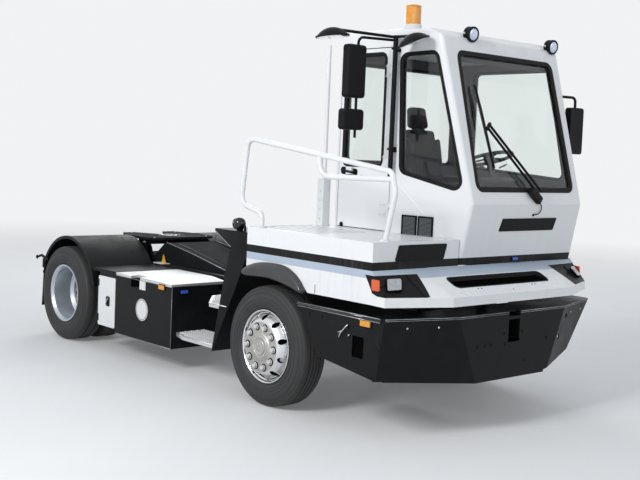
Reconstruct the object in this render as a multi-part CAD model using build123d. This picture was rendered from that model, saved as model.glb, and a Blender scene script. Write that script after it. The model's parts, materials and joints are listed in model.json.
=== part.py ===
from build123d import *
import math
import os

os.makedirs("parts", exist_ok=True)

# Frame: +X forward, +Y to the vehicle's left, +Z up, millimetres.
# The origin is on the ground below the centre of the front axle.

# Wheels and axles
WHEELBASE = 3400.0
TYRE_R = 492.5
AXLE_Z = 489.0
TYRE_W = 276.0
RIM_W = 235.0
RIM_R = 298.5
RIM_WALL = 14.0
FRONT_TRACK = 2195.0
REAR_TRACK = 2183.0
DUAL_SPACING = 312.0
NUT_PCD = 335.0
NUT_COUNT = 10
NUT_R = 19.0
NUT_H = 26.0
DISC_OUT = 45.0
HAND_HOLES = 10
HAND_HOLE_R = 17.0
KINGPIN_Y = FRONT_TRACK / 2 - 172.5
STUB_R = 42.0
ROUND_GAP = 0.5
STEER_LIMIT = 40.0

# Chassis
RAIL_OUT = 430.0
RAIL_W = 80.0
RAIL_BOTTOM = 600.0
RAIL_TOP = 830.0
RAIL_FRONT = 1300.0
RAIL_REAR = -WHEELBASE - 560.0
RAIL_WALL = 9.0

# White body and platform
BODY_Y = 1210.0
BODY_WALL = 30.0
BODY_REAR = -290.0
BODY_FRONT = 1190.0
BODY_BOTTOM = 989.0
STRIP_TOP = 1058.0
CAB_BASE = 1240.0
DECK_TOP = 1440.0
DECK_T = 30.0
NOSE_CORNER_X = 1345.0
NOSE_CORNER_Y = 1226.0
NOSE_BEND_X = 1552.0
NOSE_BEND_Y = 724.0
NOSE_WALL = 30.0
ARCH_X = 30.0
ARCH_Z = 512.0
ARCH_R = 620.0
ARCH_FRONT = 49.0
ARCH_REAR = 122.0
FLARE_W = 84.0
FLARE_OUT = 40.0
GRILLE_REAR = 1322.0
GRILLE_FRONT = 1448.0
GRILLE_HALF = 572.0
GRILLE_CORNER = 40.0
LAMP_IN_Y = 905.0
LAMP_TOP = 1203.0
LAMP_BOTTOM = 1060.0
LAMP_GAP = 1.0
LAMP_PROUD = 4.0

# Bumper
BUMPER_Y = 1245.0
BUMPER_TOP = 913.0
BUMPER_SIDE_BOTTOM = 449.0
BUMPER_BOTTOM = 395.0
BUMPER_CORNER_X = 1370.0
BUMPER_BEND_X = 1554.0
BUMPER_BEND_Y = 655.0
BUMPER_BEND_LOW_Y = 435.0
BUMPER_LEAN = 69.0
BUMPER_WALL = 12.0
TOW_SLOT_W = 136.0
TOW_PIN_HOLE_R = 20.0

# Cab
CAB_LEFT = 1200.0
CAB_RIGHT = -370.0
CAB_REAR = -170.0
CAB_FRONT_RIGHT = -250.0
CAB_POST_X = 520.0
CAB_WALL = 45.0
CAB_WAIST_X = 1285.0
CAB_WAIST_Z = 1720.0
CAB_BROW_X = 935.0
CAB_BROW_Z = 3040.0
CAB_TOP = 3100.0
ROOF_BOTTOM = 2960.0
GLASS_T = 6.0
DOOR_GAP = 8.0
DOOR_BOTTOM = 1452.0
DOOR_TOP = 2950.0
DOOR_REAR = -120.0
DOOR_SWING = 80.0
HINGE_R = 8.0
HINGE_X = 500.0
HINGE_Y = -386.0
MIRROR_X = 540.0
CAB_EDGE_R = 32.0
WINDOW_R = 65.0

# Side tank, locker and stairs
BOX_Y = 1170.0
BOX_IN_Y = 640.0
BOX_FRONT = -1430.0
BOX_REAR = -WHEELBASE + 980.0
BOX_BOTTOM = 217.0
BOX_TOP = 790.0
LOCKER_REAR = -WHEELBASE + 658.0
SIDE_DECK_REAR = -WHEELBASE + 530.0
SIDE_DECK_TOP = 815.0
TREAD_T = 30.0

# Rear mudguards
GUARD_R = 582.0
GUARD_Z = 505.0
GUARD_T = 8.0
GUARD_LIP = 26.0
GUARD_IN_Y = 452.0
GUARD_OUT_Y = 1184.0

# Fifth wheel and its lifting boom
BOOM_PIVOT_X = -1750.0
BOOM_PIVOT_Z = 760.0
BOOM_PIN_R = 35.0
BOOM_OUT_Y = 335.0
BOOM_PLATE = 25.0
BOOM_LIFT = 22.0
PLATE_X = -WHEELBASE + 120.0
PLATE_PIVOT_Z = 945.0
PLATE_TOP = 1085.0
PLATE_T = 26.0
PLATE_HALF_W = 430.0
PLATE_FRONT = 300.0
PLATE_REAR = 430.0
PLATE_PIN_R = 25.0
KINGPIN_HOLE_R = 25.9
CYL_BASE_X = -2600.0
CYL_BASE_Z = 330.0
CYL_EYE_X = -2790.0
CYL_EYE_Z = 830.0
CYL_EYE_SLACK = 8.0
CYL_Y = 215.0
CYL_R = 55.0
CYL_ROD_R = 32.0
CYL_PIN_R = 20.0


def block(x0, x1, y0, y1, z0, z1):
    centre = Pos((x0 + x1) / 2, (y0 + y1) / 2, (z0 + z1) / 2)
    return centre * Box(abs(x1 - x0), abs(y1 - y0), abs(z1 - z0))


def slab_xz(points, y0, y1):
    """A plate with an outline of (x, z) points, from y0 to y1."""
    outline = Polyline(*[(x, min(y0, y1), z) for x, z in points], close=True)
    return extrude(make_face(outline), amount=abs(y1 - y0), dir=(0, 1, 0))


def slab_yz(points, x0, x1):
    """A plate with an outline of (y, z) points, from x0 to x1."""
    outline = Polyline(*[(min(x0, x1), y, z) for y, z in points], close=True)
    return extrude(make_face(outline), amount=abs(x1 - x0), dir=(1, 0, 0))


def slab_xy(points, z0, z1):
    """A plate with an outline of (x, y) points, from z0 to z1."""
    outline = Polyline(*[(x, y, z0) for x, y in points], close=True)
    return extrude(make_face(outline), amount=z1 - z0, dir=(0, 0, 1))


def rod(start, end, radius):
    start = Vector(*start)
    along = Vector(*end) - start
    bar = Cylinder(radius, along.length, align=(Align.CENTER, Align.CENTER, Align.MIN))
    return Plane(origin=start, z_dir=along) * bar


def rod_y(x, z, y0, y1, radius):
    return rod((x, min(y0, y1), z), (x, max(y0, y1), z), radius)


def turned(points, x, z):
    """A body of revolution about the line along Y through (x, z), from (y, radius) points."""
    outline = Polyline(*[(x, y, z + r) for y, r in points], close=True)
    return revolve(make_face(outline), Axis((x, 0, z), (0, 1, 0)), 360)


def pipe(points, radii, radius):
    path = FilletPolyline(*points, radius=radii)
    section = Plane(origin=path @ 0, z_dir=path % 0) * Circle(radius)
    return sweep(section, path)


def mirrored(shape):
    return mirror(shape, Plane.XZ)


def join(pieces):
    """The pieces as one shape: those that touch become one solid."""
    whole = pieces[0]
    for piece in pieces[1:]:
        whole = whole + piece
    return whole


def save(name, shape):
    export_step(shape, f"parts/{name}.step")


# Road wheels: a rim and a tyre each, turned about the axle's line
def tyre(x, centre_y):
    half = TYRE_W / 2
    bead = RIM_W / 2 - 22.0
    points = [(-bead, RIM_R - 18.0), (-bead, RIM_R + 3), (-half + 12, RIM_R + 40), (-half, RIM_R + 82),
              (-half + 6, RIM_R + 130), (-half + 24, TYRE_R - 22), (-half + 44, TYRE_R - 4),
              (-half + 74, TYRE_R), (half - 74, TYRE_R), (half - 44, TYRE_R - 4),
              (half - 24, TYRE_R - 22), (half - 6, RIM_R + 130), (half, RIM_R + 82),
              (half - 12, RIM_R + 40), (bead, RIM_R + 3), (bead, RIM_R - 18.0)]
    return turned([(centre_y + y, r) for y, r in points], x, AXLE_Z)


def rim_barrel(centre_y):
    """The outline of a rim's barrel with its two flanges, as (y, radius) points."""
    half = RIM_W / 2
    outer = [(-half, RIM_R), (-half + 14, RIM_R), (-half + 18, RIM_R - 18.5),
             (half - 18, RIM_R - 18.5), (half - 14, RIM_R), (half, RIM_R)]
    inner = [(half, RIM_R - RIM_WALL), (half - 26, RIM_R - 19 - RIM_WALL),
             (-half + 26, RIM_R - 19 - RIM_WALL), (-half, RIM_R - RIM_WALL)]
    return [(centre_y + y, r) for y, r in outer + inner]


def ring_of(count, pitch_r, x, z, phase=0.0):
    for i in range(count):
        angle = math.radians(phase + 360.0 * i / count)
        yield x + pitch_r * math.cos(angle), z + pitch_r * math.sin(angle)


def front_rim(side):
    """A front wheel with a convex disc; side is -1 on the right."""
    centre = FRONT_TRACK / 2
    face = centre + RIM_W / 2
    barrel = turned([(side * y, r) for y, r in rim_barrel(centre)], 0, AXLE_Z)
    disc = [(face - 78, RIM_R - 24), (face - 32, 262), (face - 6, 252), (face + 18, 236), (face + 38, 217),
            (face + DISC_OUT, 206), (face + DISC_OUT, 118), (face + DISC_OUT + 8, 108),
            (face + DISC_OUT + 16, 90), (face + DISC_OUT + 16, 0), (face - 20, 0),
            (face - 20, STUB_R + ROUND_GAP), (face - 150, STUB_R + ROUND_GAP), (face - 150, 118),
            (face + 20, 130), (face + 27, 190), (face + 22, 204), (face, 226), (face - 26, 244),
            (face - 54, 254), (face - 92, 258), (face - 100, RIM_R - 24)]
    wheel = barrel + turned([(side * y, r) for y, r in disc], 0, AXLE_Z)
    for x, z in ring_of(HAND_HOLES, 239.0, 0, AXLE_Z, 18.0):
        wheel -= rod_y(x, z, side * (face - 70), side * (face + 60), HAND_HOLE_R)
    for x, z in ring_of(NUT_COUNT, NUT_PCD / 2, 0, AXLE_Z):
        wheel += rod_y(x, z, side * (face + DISC_OUT - 6), side * (face + DISC_OUT + NUT_H), NUT_R)
    return wheel


def rear_rim(side):
    """A twin rear wheel: two barrels on one hub, the outer disc deep inside."""
    outer = REAR_TRACK / 2
    inner = outer - DUAL_SPACING
    mate = (outer + inner) / 2
    barrels = [turned([(side * y, r) for y, r in rim_barrel(c)], -WHEELBASE, AXLE_Z)
               for c in (outer, inner)]
    disc = [(mate - 62, RIM_R - 26), (mate - 10, 214), (mate - 10, 0), (mate + 70, 0),
            (mate + 70, 105), (mate + 10, 118), (mate + 10, 214), (mate + 62, RIM_R - 26),
            (mate + 38, RIM_R - 26), (mate, 250), (mate - 38, RIM_R - 26)]
    wheel = join(barrels + [turned([(side * y, r) for y, r in disc], -WHEELBASE, AXLE_Z)])
    for x, z in ring_of(NUT_COUNT, NUT_PCD / 2, -WHEELBASE, AXLE_Z):
        wheel += rod_y(x, z, side * (mate + 8), side * (mate + 10 + NUT_H), NUT_R)
    return wheel - rod_y(-WHEELBASE, AXLE_Z, side * (mate - 70), side * (mate + 20), STUB_R + ROUND_GAP)


def make_wheels():
    for name, side in (("right", -1), ("left", 1)):
        save(f"front_rim_{name}", front_rim(side))
        save(f"front_tyre_{name}", tyre(0, side * FRONT_TRACK / 2))
        save(f"rear_rim_{name}", rear_rim(side))
        outer = REAR_TRACK / 2
        pair = [tyre(-WHEELBASE, side * outer), tyre(-WHEELBASE, side * (outer - DUAL_SPACING))]
        save(f"rear_tyres_{name}", Compound(children=pair))


# Axles, springs and steering knuckles
BEAM_Z = 360.0
BEAM_H = 90.0
FORK_GAP = 2.0
KNUCKLE_H = 130.0
KNUCKLE_R = 46.0
KINGPIN_R = 22.0
SPRING_Y = RAIL_OUT - RAIL_W / 2


def front_axle():
    """A dropped I-beam with forks for the kingpins, and a leaf spring under each rail."""
    fork_out = KINGPIN_Y + 48
    fork_in = KINGPIN_Y - 48
    inner = KINGPIN_Y - 95
    beam = slab_yz([(-inner, AXLE_Z - 70), (-520, BEAM_Z - BEAM_H / 2), (520, BEAM_Z - BEAM_H / 2),
                    (inner, AXLE_Z - 70), (inner, AXLE_Z + 60), (560, BEAM_Z + BEAM_H / 2),
                    (-560, BEAM_Z + BEAM_H / 2), (-inner, AXLE_Z + 60)], -45, 45)
    pieces = [beam]
    low = AXLE_Z - KNUCKLE_H / 2 - FORK_GAP
    high = AXLE_Z + KNUCKLE_H / 2 + FORK_GAP
    for side in (-1, 1):
        root = block(-45, 45, side * (inner - 10), side * (inner + 10), low - 35, high + 35)
        top = block(-45, 45, side * inner, side * fork_out, high, high + 35)
        bottom = block(-45, 45, side * inner, side * fork_out, low - 35, low)
        pin = rod((0, side * KINGPIN_Y, low - 40), (0, side * KINGPIN_Y, high + 40), KINGPIN_R)
        seat = block(-70, 70, side * (SPRING_Y - 40), side * (SPRING_Y + 40), BEAM_Z + BEAM_H / 2, 455)
        leaves = slab_xz([(-620, 560), (-300, 480), (0, 440), (300, 480), (620, 560), (620, 585),
                          (300, 515), (0, 475), (-300, 515), (-620, 585)],
                         side * (SPRING_Y - 35), side * (SPRING_Y + 35))
        eyes = [block(x - 30, x + 30, side * (SPRING_Y - 35), side * (SPRING_Y + 35), 570, RAIL_BOTTOM)
                for x in (-600, 600)]
        pieces += [root, top, bottom, pin, seat, leaves] + eyes
        assert fork_in < fork_out
    return join(pieces)


def knuckle(side):
    boss = rod((0, side * KINGPIN_Y, AXLE_Z - KNUCKLE_H / 2), (0, side * KINGPIN_Y, AXLE_Z + KNUCKLE_H / 2), KNUCKLE_R)
    stub = rod_y(0, AXLE_Z, side * KINGPIN_Y, side * (FRONT_TRACK / 2 + RIM_W / 2 - 25), STUB_R)
    arm = block(-210, 0, side * (KINGPIN_Y - 30), side * (KINGPIN_Y + 10), AXLE_Z - 50, AXLE_Z - 20)
    whole = join([boss, stub, arm])
    return whole - rod((0, side * KINGPIN_Y, 0), (0, side * KINGPIN_Y, 1000), KINGPIN_R + ROUND_GAP)


def rear_axle():
    """The banjo housing with its end tubes, rail seats and drive shaft."""
    x = -WHEELBASE
    mate = REAR_TRACK / 2 - DUAL_SPACING / 2
    tube = rod_y(x, AXLE_Z, -(mate - 140), mate - 140, 82)
    stubs = rod_y(x, AXLE_Z, -(mate + 15), mate + 15, STUB_R)
    banjo = rod_y(x, AXLE_Z, -170, 170, 190)
    nose = rod((x, 0, AXLE_Z), (x + 330, 0, AXLE_Z + 10), 95)
    shaft = rod((x + 320, 0, AXLE_Z + 10), (ENGINE_REAR, 0, 560), 48)
    seats = [block(x - 80, x + 80, s * (RAIL_OUT - RAIL_W), s * RAIL_OUT, AXLE_Z + 40, RAIL_BOTTOM)
             for s in (-1, 1)]
    whole = join([tube, stubs, banjo, nose, shaft] + seats)
    return whole - block(ENGINE_REAR, ENGINE_REAR + 100, -200, 200, 300, 800)


# Chassis frame, engine and tanks
ENGINE_REAR = -1300.0
ENGINE_FRONT = 250.0
PORTAL_X = (-215.0, 900.0)
PORTAL_T = 60.0
PORTAL_Z = 1200.0


def chassis_frame():
    """Two rails, cross members, the portals under the cab and the boom's brackets."""
    pieces = []
    for side in (-1, 1):
        rail = block(RAIL_REAR, RAIL_FRONT, side * (RAIL_OUT - RAIL_W), side * RAIL_OUT, RAIL_BOTTOM, RAIL_TOP)
        pocket = block(RAIL_REAR - 1, RAIL_FRONT + 1, side * (RAIL_OUT - RAIL_W - 1), side * (RAIL_OUT - RAIL_WALL),
                       RAIL_BOTTOM + RAIL_WALL, RAIL_TOP - RAIL_WALL)
        pieces.append(rail - pocket)
        for x in PORTAL_X:
            post = block(x - PORTAL_T / 2, x + PORTAL_T / 2, side * (RAIL_OUT - RAIL_W), side * RAIL_OUT, RAIL_TOP, PORTAL_Z)
            pieces.append(post)
    inside = RAIL_OUT - RAIL_WALL
    for x0, x1, z0, z1 in ((RAIL_REAR, RAIL_REAR + 12, RAIL_BOTTOM, RAIL_TOP),
                           (-2400, -2340, RAIL_BOTTOM + 9, RAIL_BOTTOM + 60),
                           (RAIL_FRONT - 12, RAIL_FRONT, RAIL_BOTTOM, RAIL_TOP)):
        pieces.append(block(x0, x1, -inside, inside, z0, z1))
    for x in PORTAL_X:
        edge = BODY_Y - BODY_WALL
        pieces.append(block(x - PORTAL_T / 2, x + PORTAL_T / 2, -edge, edge, PORTAL_Z, CAB_BASE))
        pieces.append(block(x - PORTAL_T / 2, x + PORTAL_T / 2, -edge, CAB_RIGHT - 60, CAB_BASE, DECK_TOP - DECK_T))
    for side in (-1, 1):
        ear = slab_xz([(BOOM_PIVOT_X - 70, RAIL_BOTTOM + 60), (BOOM_PIVOT_X + 70, RAIL_BOTTOM + 60),
                       (BOOM_PIVOT_X + 70, RAIL_TOP), (BOOM_PIVOT_X - 70, RAIL_TOP)],
                      side * (BOOM_OUT_Y + 5), side * inside)
        pin = rod_y(BOOM_PIVOT_X, BOOM_PIVOT_Z, side * (BOOM_OUT_Y - 70), side * (BOOM_OUT_Y + 10), BOOM_PIN_R)
        pieces += [ear, pin]
    base = block(CYL_BASE_X - 60, CYL_BASE_X + 60, -inside, inside, CYL_BASE_Z - 85, CYL_BASE_Z - 60)
    pieces.append(base)
    for side in (-1, 1):
        hanger = block(CYL_BASE_X - 60, CYL_BASE_X + 60, side * (inside - 20), side * inside, CYL_BASE_Z - 85, RAIL_BOTTOM + 20)
        pieces.append(hanger)
        for y in (CYL_Y - CYL_R - 22, CYL_Y + CYL_R + 2):
            lug = block(CYL_BASE_X - 40, CYL_BASE_X + 40, side * y, side * (y + 20), CYL_BASE_Z - 65, CYL_BASE_Z + 35)
            pieces.append(lug)
        pin = rod_y(CYL_BASE_X, CYL_BASE_Z, side * (CYL_Y - CYL_R - 22), side * (CYL_Y + CYL_R + 22), CYL_PIN_R)
        pieces.append(pin)
    return join(pieces)


def engine_block():
    """Engine and gearbox as one plain block between the rails."""
    room = RAIL_OUT - RAIL_W - 10
    engine = block(-650, ENGINE_FRONT, -room, room, 480, 1150)
    gearbox = block(ENGINE_REAR, -650, -200, 200, 470, 800)
    feet = [block(x - 30, x + 30, s * room, s * (RAIL_OUT - RAIL_WALL), 700, 740)
            for x in (-500, 150) for s in (-1, 1)]
    return join([engine, gearbox] + feet)


def side_tanks():
    """The tank between the right wheels, the fuel tank on the left and two air tanks."""
    right = block(BOX_REAR, BOX_FRONT, -BOX_Y, -BOX_IN_Y, BOX_BOTTOM, BOX_TOP)
    right -= block(-2143, -1979, -BOX_Y - 1, -BOX_Y + 90, 712, BOX_TOP + 1)
    right += block(BOX_REAR + 100, BOX_FRONT - 100, -BOX_IN_Y, -RAIL_OUT, 650, 700)
    left = block(BOX_REAR, BOX_FRONT, BOX_IN_Y, BOX_Y - 20, BOX_BOTTOM + 60, BOX_TOP - 40)
    left = fillet(left.edges().filter_by(Axis.X), 90)
    left += block(BOX_REAR + 100, BOX_FRONT - 100, RAIL_OUT, BOX_IN_Y + 10, 650, 700)
    air = [rod((-1400, 540, 470), (-840, 540, 470), 95)]
    straps = [block(x - 20, x + 20, RAIL_OUT, 560, 550, 640) for x in (-1250, -950)]
    return Compound(children=[right, left, join(air + straps)])


def side_locker():
    body = block(LOCKER_REAR, BOX_REAR, -BOX_Y + 6, -700, 262, BOX_TOP)
    lid = block(SIDE_DECK_REAR, BOX_REAR, -BOX_Y, -RAIL_OUT - 20, BOX_TOP, SIDE_DECK_TOP)
    door = block(LOCKER_REAR + 14, BOX_REAR - 26, -BOX_Y, -BOX_Y + 7, 268, 755)
    return join([body, lid, fillet(door.edges().filter_by(Axis.Y), 12)])


# Aluminium decks, stair treads and the black panels behind the front wheels
def treads():
    ahead = slab_xz([(-795, 250), (-795, 312), (-492, 908), (300, 908), (300, 250)], -1300, -400)
    ahead += wheel_screen(-1)
    low = slab_xy([(BOX_FRONT, -1110), (-1240, -BOX_Y), (-600, -BOX_Y), (-600, -800), (BOX_FRONT, -800)], 336, 372) - ahead
    high = slab_xy([(-1190, -890), (-850, -BOX_Y), (-500, -BOX_Y), (-500, -800), (-1190, -800)], 694, 730) - ahead
    deck = slab_xy([(BOX_REAR, -BOX_Y), (BOX_REAR, -RAIL_OUT - 20), (-1820, -RAIL_OUT - 20), (BOX_FRONT - 10, -567),
                    (BOX_FRONT - 10, -BOX_Y)], BOX_TOP, SIDE_DECK_TOP)
    deck -= block(-2143, -1979, -BOX_Y - 1, -BOX_Y + 90, BOX_TOP - 1, SIDE_DECK_TOP + 1)
    return Compound(children=[low, high, deck])


WALL_LINE = [(-785, 312), (-482, 902), (-364, 1151), (BODY_REAR, 1230)]
WALL_T = 10.0


def wheel_screen(side):
    """The black panel between a front wheel and the stairs, with its landing."""
    back = [(-795, 312), (-640, 1009), (-564, 1242), (-800, 1365), (-800, 1385), (BODY_REAR, 1385)]
    cheek = slab_xz(WALL_LINE + back[::-1], side * BOX_Y, side * (BOX_Y - WALL_T))
    wall = slab_xz([(-785, 312), (-482, 902), (-364, 1151), (BODY_REAR, 1230), (BODY_REAR, 1245),
                    (-372, 1165), (-492, 908), (-795, 312)], side * (BOX_Y - WALL_T), side * 500)
    landing = block(-800, BODY_REAR, side * (BOX_Y - WALL_T), side * 500, 1365, 1385)
    tie = block(-330, BODY_REAR, side * 500, side * RAIL_OUT, 1245, 1385)
    post = block(-330, BODY_REAR, side * RAIL_OUT, side * (RAIL_OUT - 60), RAIL_TOP, 1385)
    return join([cheek, wall, landing, tie, post])


def arch_flare(side):
    """The thick rubber lip over a front wheel's arch."""
    y_in = side * (BODY_Y - 10)
    y_out = side * (BODY_Y + FLARE_OUT)
    ring = rod_y(ARCH_X, ARCH_Z, y_in, y_out, ARCH_R + FLARE_W / 2)
    ring = fillet(ring.edges().filter_by(GeomType.CIRCLE).sort_by(Axis.Y)[0 if side < 0 else -1], 26)
    ring -= rod_y(ARCH_X, ARCH_Z, y_in - 50, y_out + 50, ARCH_R - FLARE_W / 2)
    ends = [math.radians(ARCH_FRONT), math.radians((ARCH_FRONT + ARCH_REAR) / 2), math.radians(ARCH_REAR)]
    wedge = [(ARCH_X, ARCH_Z)] + [(ARCH_X + 1500 * math.cos(a), ARCH_Z + 1500 * math.sin(a)) for a in ends]
    return ring & slab_xz(wedge, y_in - side, y_out + side)


def front_mudguards():
    return Compound(children=[wheel_screen(-1), wheel_screen(1), arch_flare(-1), arch_flare(1)])


# White body: sides, platform and the three-faced nose
def body_side(side, top):
    """One side panel with its wheel arch, from the arch to the nose's corner."""
    panel = slab_xz([(BODY_REAR, 1110), (BODY_REAR, top), (BODY_FRONT, top), (BODY_FRONT, 1235),
                     (BODY_FRONT, BODY_BOTTOM), (430, BODY_BOTTOM), (400, 1110)],
                    side * BODY_Y, side * (BODY_Y - BODY_WALL))
    panel -= rod_y(ARCH_X, ARCH_Z, side * (BODY_Y + 1), side * (BODY_Y - BODY_WALL - 1), ARCH_R + FLARE_W / 2)
    return panel - lamp_window(side, 0)


def platform_deck():
    """The walking deck on the cab's right with its front and rear walls."""
    inner = BODY_Y - BODY_WALL
    cab_side = CAB_RIGHT - 4
    deck = slab_xy([(BODY_REAR, -inner), (BODY_FRONT, -inner), (BODY_FRONT, CAB_FRONT_RIGHT - 24),
                    (CAB_POST_X, cab_side), (BODY_REAR, cab_side)], DECK_TOP - DECK_T, DECK_TOP)
    front = slab_xy([(BODY_FRONT - 30, -inner), (BODY_FRONT, -inner), (BODY_FRONT, CAB_FRONT_RIGHT - 24),
                     (BODY_FRONT - 30, CAB_FRONT_RIGHT - 30)], 1236, DECK_TOP - DECK_T)
    rear = block(BODY_REAR, BODY_REAR + 25, -inner, cab_side, CAB_BASE + 2, DECK_TOP - DECK_T)
    return join([deck, front, rear])


def nose_solid(inset, low, high):
    """The nose's outer form, drawn in by inset: an upright strip and a sloping top."""
    corner_x = NOSE_CORNER_X - inset
    corner_y = NOSE_CORNER_Y - inset
    bend_x = NOSE_BEND_X - inset
    bend_y = NOSE_BEND_Y
    back = BODY_FRONT - 190
    top_x = BODY_FRONT - inset
    top_y = BODY_Y - inset
    flare_x = min(BODY_FRONT - 20, top_x - 5)
    foot = [(back, -top_y), (flare_x, -top_y), (corner_x, -corner_y), (bend_x, -bend_y), (bend_x, bend_y),
            (corner_x, corner_y), (flare_x, top_y), (back, top_y)]
    head = [(back, -top_y), (flare_x, -top_y), (top_x, -top_y), (top_x, -bend_y), (top_x, bend_y), (top_x, top_y),
            (flare_x, top_y), (back, top_y)]
    strip = slab_xy(foot, low, STRIP_TOP)
    lower = make_face(Polyline(*[(x, y, STRIP_TOP) for x, y in foot], close=True))
    upper = make_face(Polyline(*[(x, y, high) for x, y in head], close=True))
    return strip + loft([lower, upper], ruled=True)


def front_panel():
    outer = nose_solid(0, BODY_BOTTOM, 1235)
    inner = nose_solid(NOSE_WALL, BODY_BOTTOM - 5, 1235 - NOSE_WALL)
    shell = outer - inner
    shell -= block(0, BODY_FRONT, -BODY_Y - 30, BODY_Y + 30, BODY_BOTTOM - 10, 1260)
    for side in (-1, 1):
        shell -= lamp_window(side, 0)
    shell -= grille_window()
    return shell


def lamp_window(side, grow):
    """The opening for the lamps, which wraps round the nose's corner."""
    return slab_xz([(1255 - grow, LAMP_BOTTOM - grow), (1700, LAMP_BOTTOM - grow), (1700, LAMP_TOP + grow),
                    (1119 - grow, LAMP_TOP + grow), (1200 - grow, 1075)],
                   side * (LAMP_IN_Y - grow), side * 1300)


def grille_window():
    """The slot in the nose's sloping face, with rounded ends."""
    slot = block(GRILLE_REAR, GRILLE_FRONT, -GRILLE_HALF, GRILLE_HALF, BODY_BOTTOM, LAMP_TOP + 50)
    return fillet(slot.edges().filter_by(Axis.Z), GRILLE_CORNER)


def nose_skin(outer, inner):
    """A layer of the nose between two insets."""
    return nose_solid(outer, BODY_BOTTOM - 5, 1235 - outer) - nose_solid(inner, BODY_BOTTOM - 8, 1235 - inner)


def front_grille():
    """Slats behind the slot in the nose."""
    edge = 45.0
    grid = nose_skin(NOSE_WALL + 0.4, NOSE_WALL + 21)
    grid = grid & block(GRILLE_REAR - edge, GRILLE_FRONT + edge, -GRILLE_HALF - edge, GRILLE_HALF + edge,
                        STRIP_TOP - 40, LAMP_TOP)
    pitch = (GRILLE_FRONT - GRILLE_REAR) / 4
    for i in range(4):
        x = GRILLE_REAR + pitch * i
        grid -= block(x + 6, x + pitch - 6, -GRILLE_HALF + 20, GRILLE_HALF - 20, BODY_BOTTOM, LAMP_TOP + 50)
    return grid


def front_lamps():
    """Black lamp panels in the corner openings, with the headlamps and indicators in them."""
    pieces = []
    turn = math.degrees(math.atan2(NOSE_BEND_X - NOSE_CORNER_X, NOSE_CORNER_Y - NOSE_BEND_Y))
    for side in (-1, 1):
        panel = nose_skin(2.0, NOSE_WALL + 16) & lamp_window(side, -LAMP_GAP)
        tray = nose_skin(NOSE_WALL + 0.5, NOSE_WALL + 16)
        tray = tray & block(BODY_FRONT + 1, 1700, side * (LAMP_IN_Y - 30), side * 1300, LAMP_BOTTOM - 12, LAMP_TOP + 1)
        lamp = nose_skin(-LAMP_PROUD, 12.0) & (Pos(1316, side * 1108, 1143) * Rot(0, 0, side * turn) * Box(260, 112, 86))
        winker = nose_skin(-LAMP_PROUD, 12.0) & block(1206, 1286, side * 1120, side * 1300, 1098, 1182)
        pieces.append(join([panel, tray, lamp, winker]))
    return Compound(children=pieces)


# Bumper: side plates, three front faces and the tow recess
def bumper_form(inset, low_by, high_by, extra):
    """The bumper's outer form drawn in by inset, its corners leaning back towards the foot."""
    def ring(z, corner_x, bend_y):
        points = [(400 - extra, -BUMPER_Y + inset), (corner_x - inset, -BUMPER_Y + inset),
                  (BUMPER_BEND_X - inset, -bend_y), (BUMPER_BEND_X - inset, bend_y),
                  (corner_x - inset, BUMPER_Y - inset), (400 - extra, BUMPER_Y - inset)]
        return make_face(Polyline(*[(x, y, z) for x, y in points], close=True))
    return loft([ring(BUMPER_BOTTOM - low_by, BUMPER_CORNER_X - BUMPER_LEAN, BUMPER_BEND_LOW_Y),
                 ring(BUMPER_TOP - high_by, BUMPER_CORNER_X, BUMPER_BEND_Y)], ruled=True)


def bumper_trim():
    """What is cut away below the bumper: rising side edges and the left end's slanting corner."""
    far = BUMPER_BEND_X + 200
    side = slab_xz([(300, 200), (far, 200), (far, BUMPER_SIDE_BOTTOM - 10), (1300, BUMPER_SIDE_BOTTOM + 3), (670, 534),
                    (421, BUMPER_TOP + 1), (421, 1000), (300, 1000)], -BUMPER_Y - 10, -BUMPER_Y + 60)
    right = slab_yz([(-BUMPER_Y - 50, 200), (-BUMPER_BEND_LOW_Y, 200), (-BUMPER_BEND_LOW_Y, BUMPER_BOTTOM),
                     (-BUMPER_Y - 50, BUMPER_SIDE_BOTTOM + 3)], 1180, far)
    left = slab_yz([(BUMPER_Y + 50, 200), (400, 200), (400, 412), (867, 512), (BUMPER_Y + 50, 600)], 1180, far)
    tilt = Vector(-1.0, -1.217, 1.0)
    corner = Plane(origin=(BUMPER_CORNER_X, BUMPER_Y, 900), z_dir=tilt) * Box(3000, 3000, 1500, align=(Align.CENTER, Align.CENTER, Align.MAX))
    corner = corner & block(300, far, 560, BUMPER_Y + 60, 200, 1000)
    return [side, mirrored(side), right, left, corner]


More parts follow.
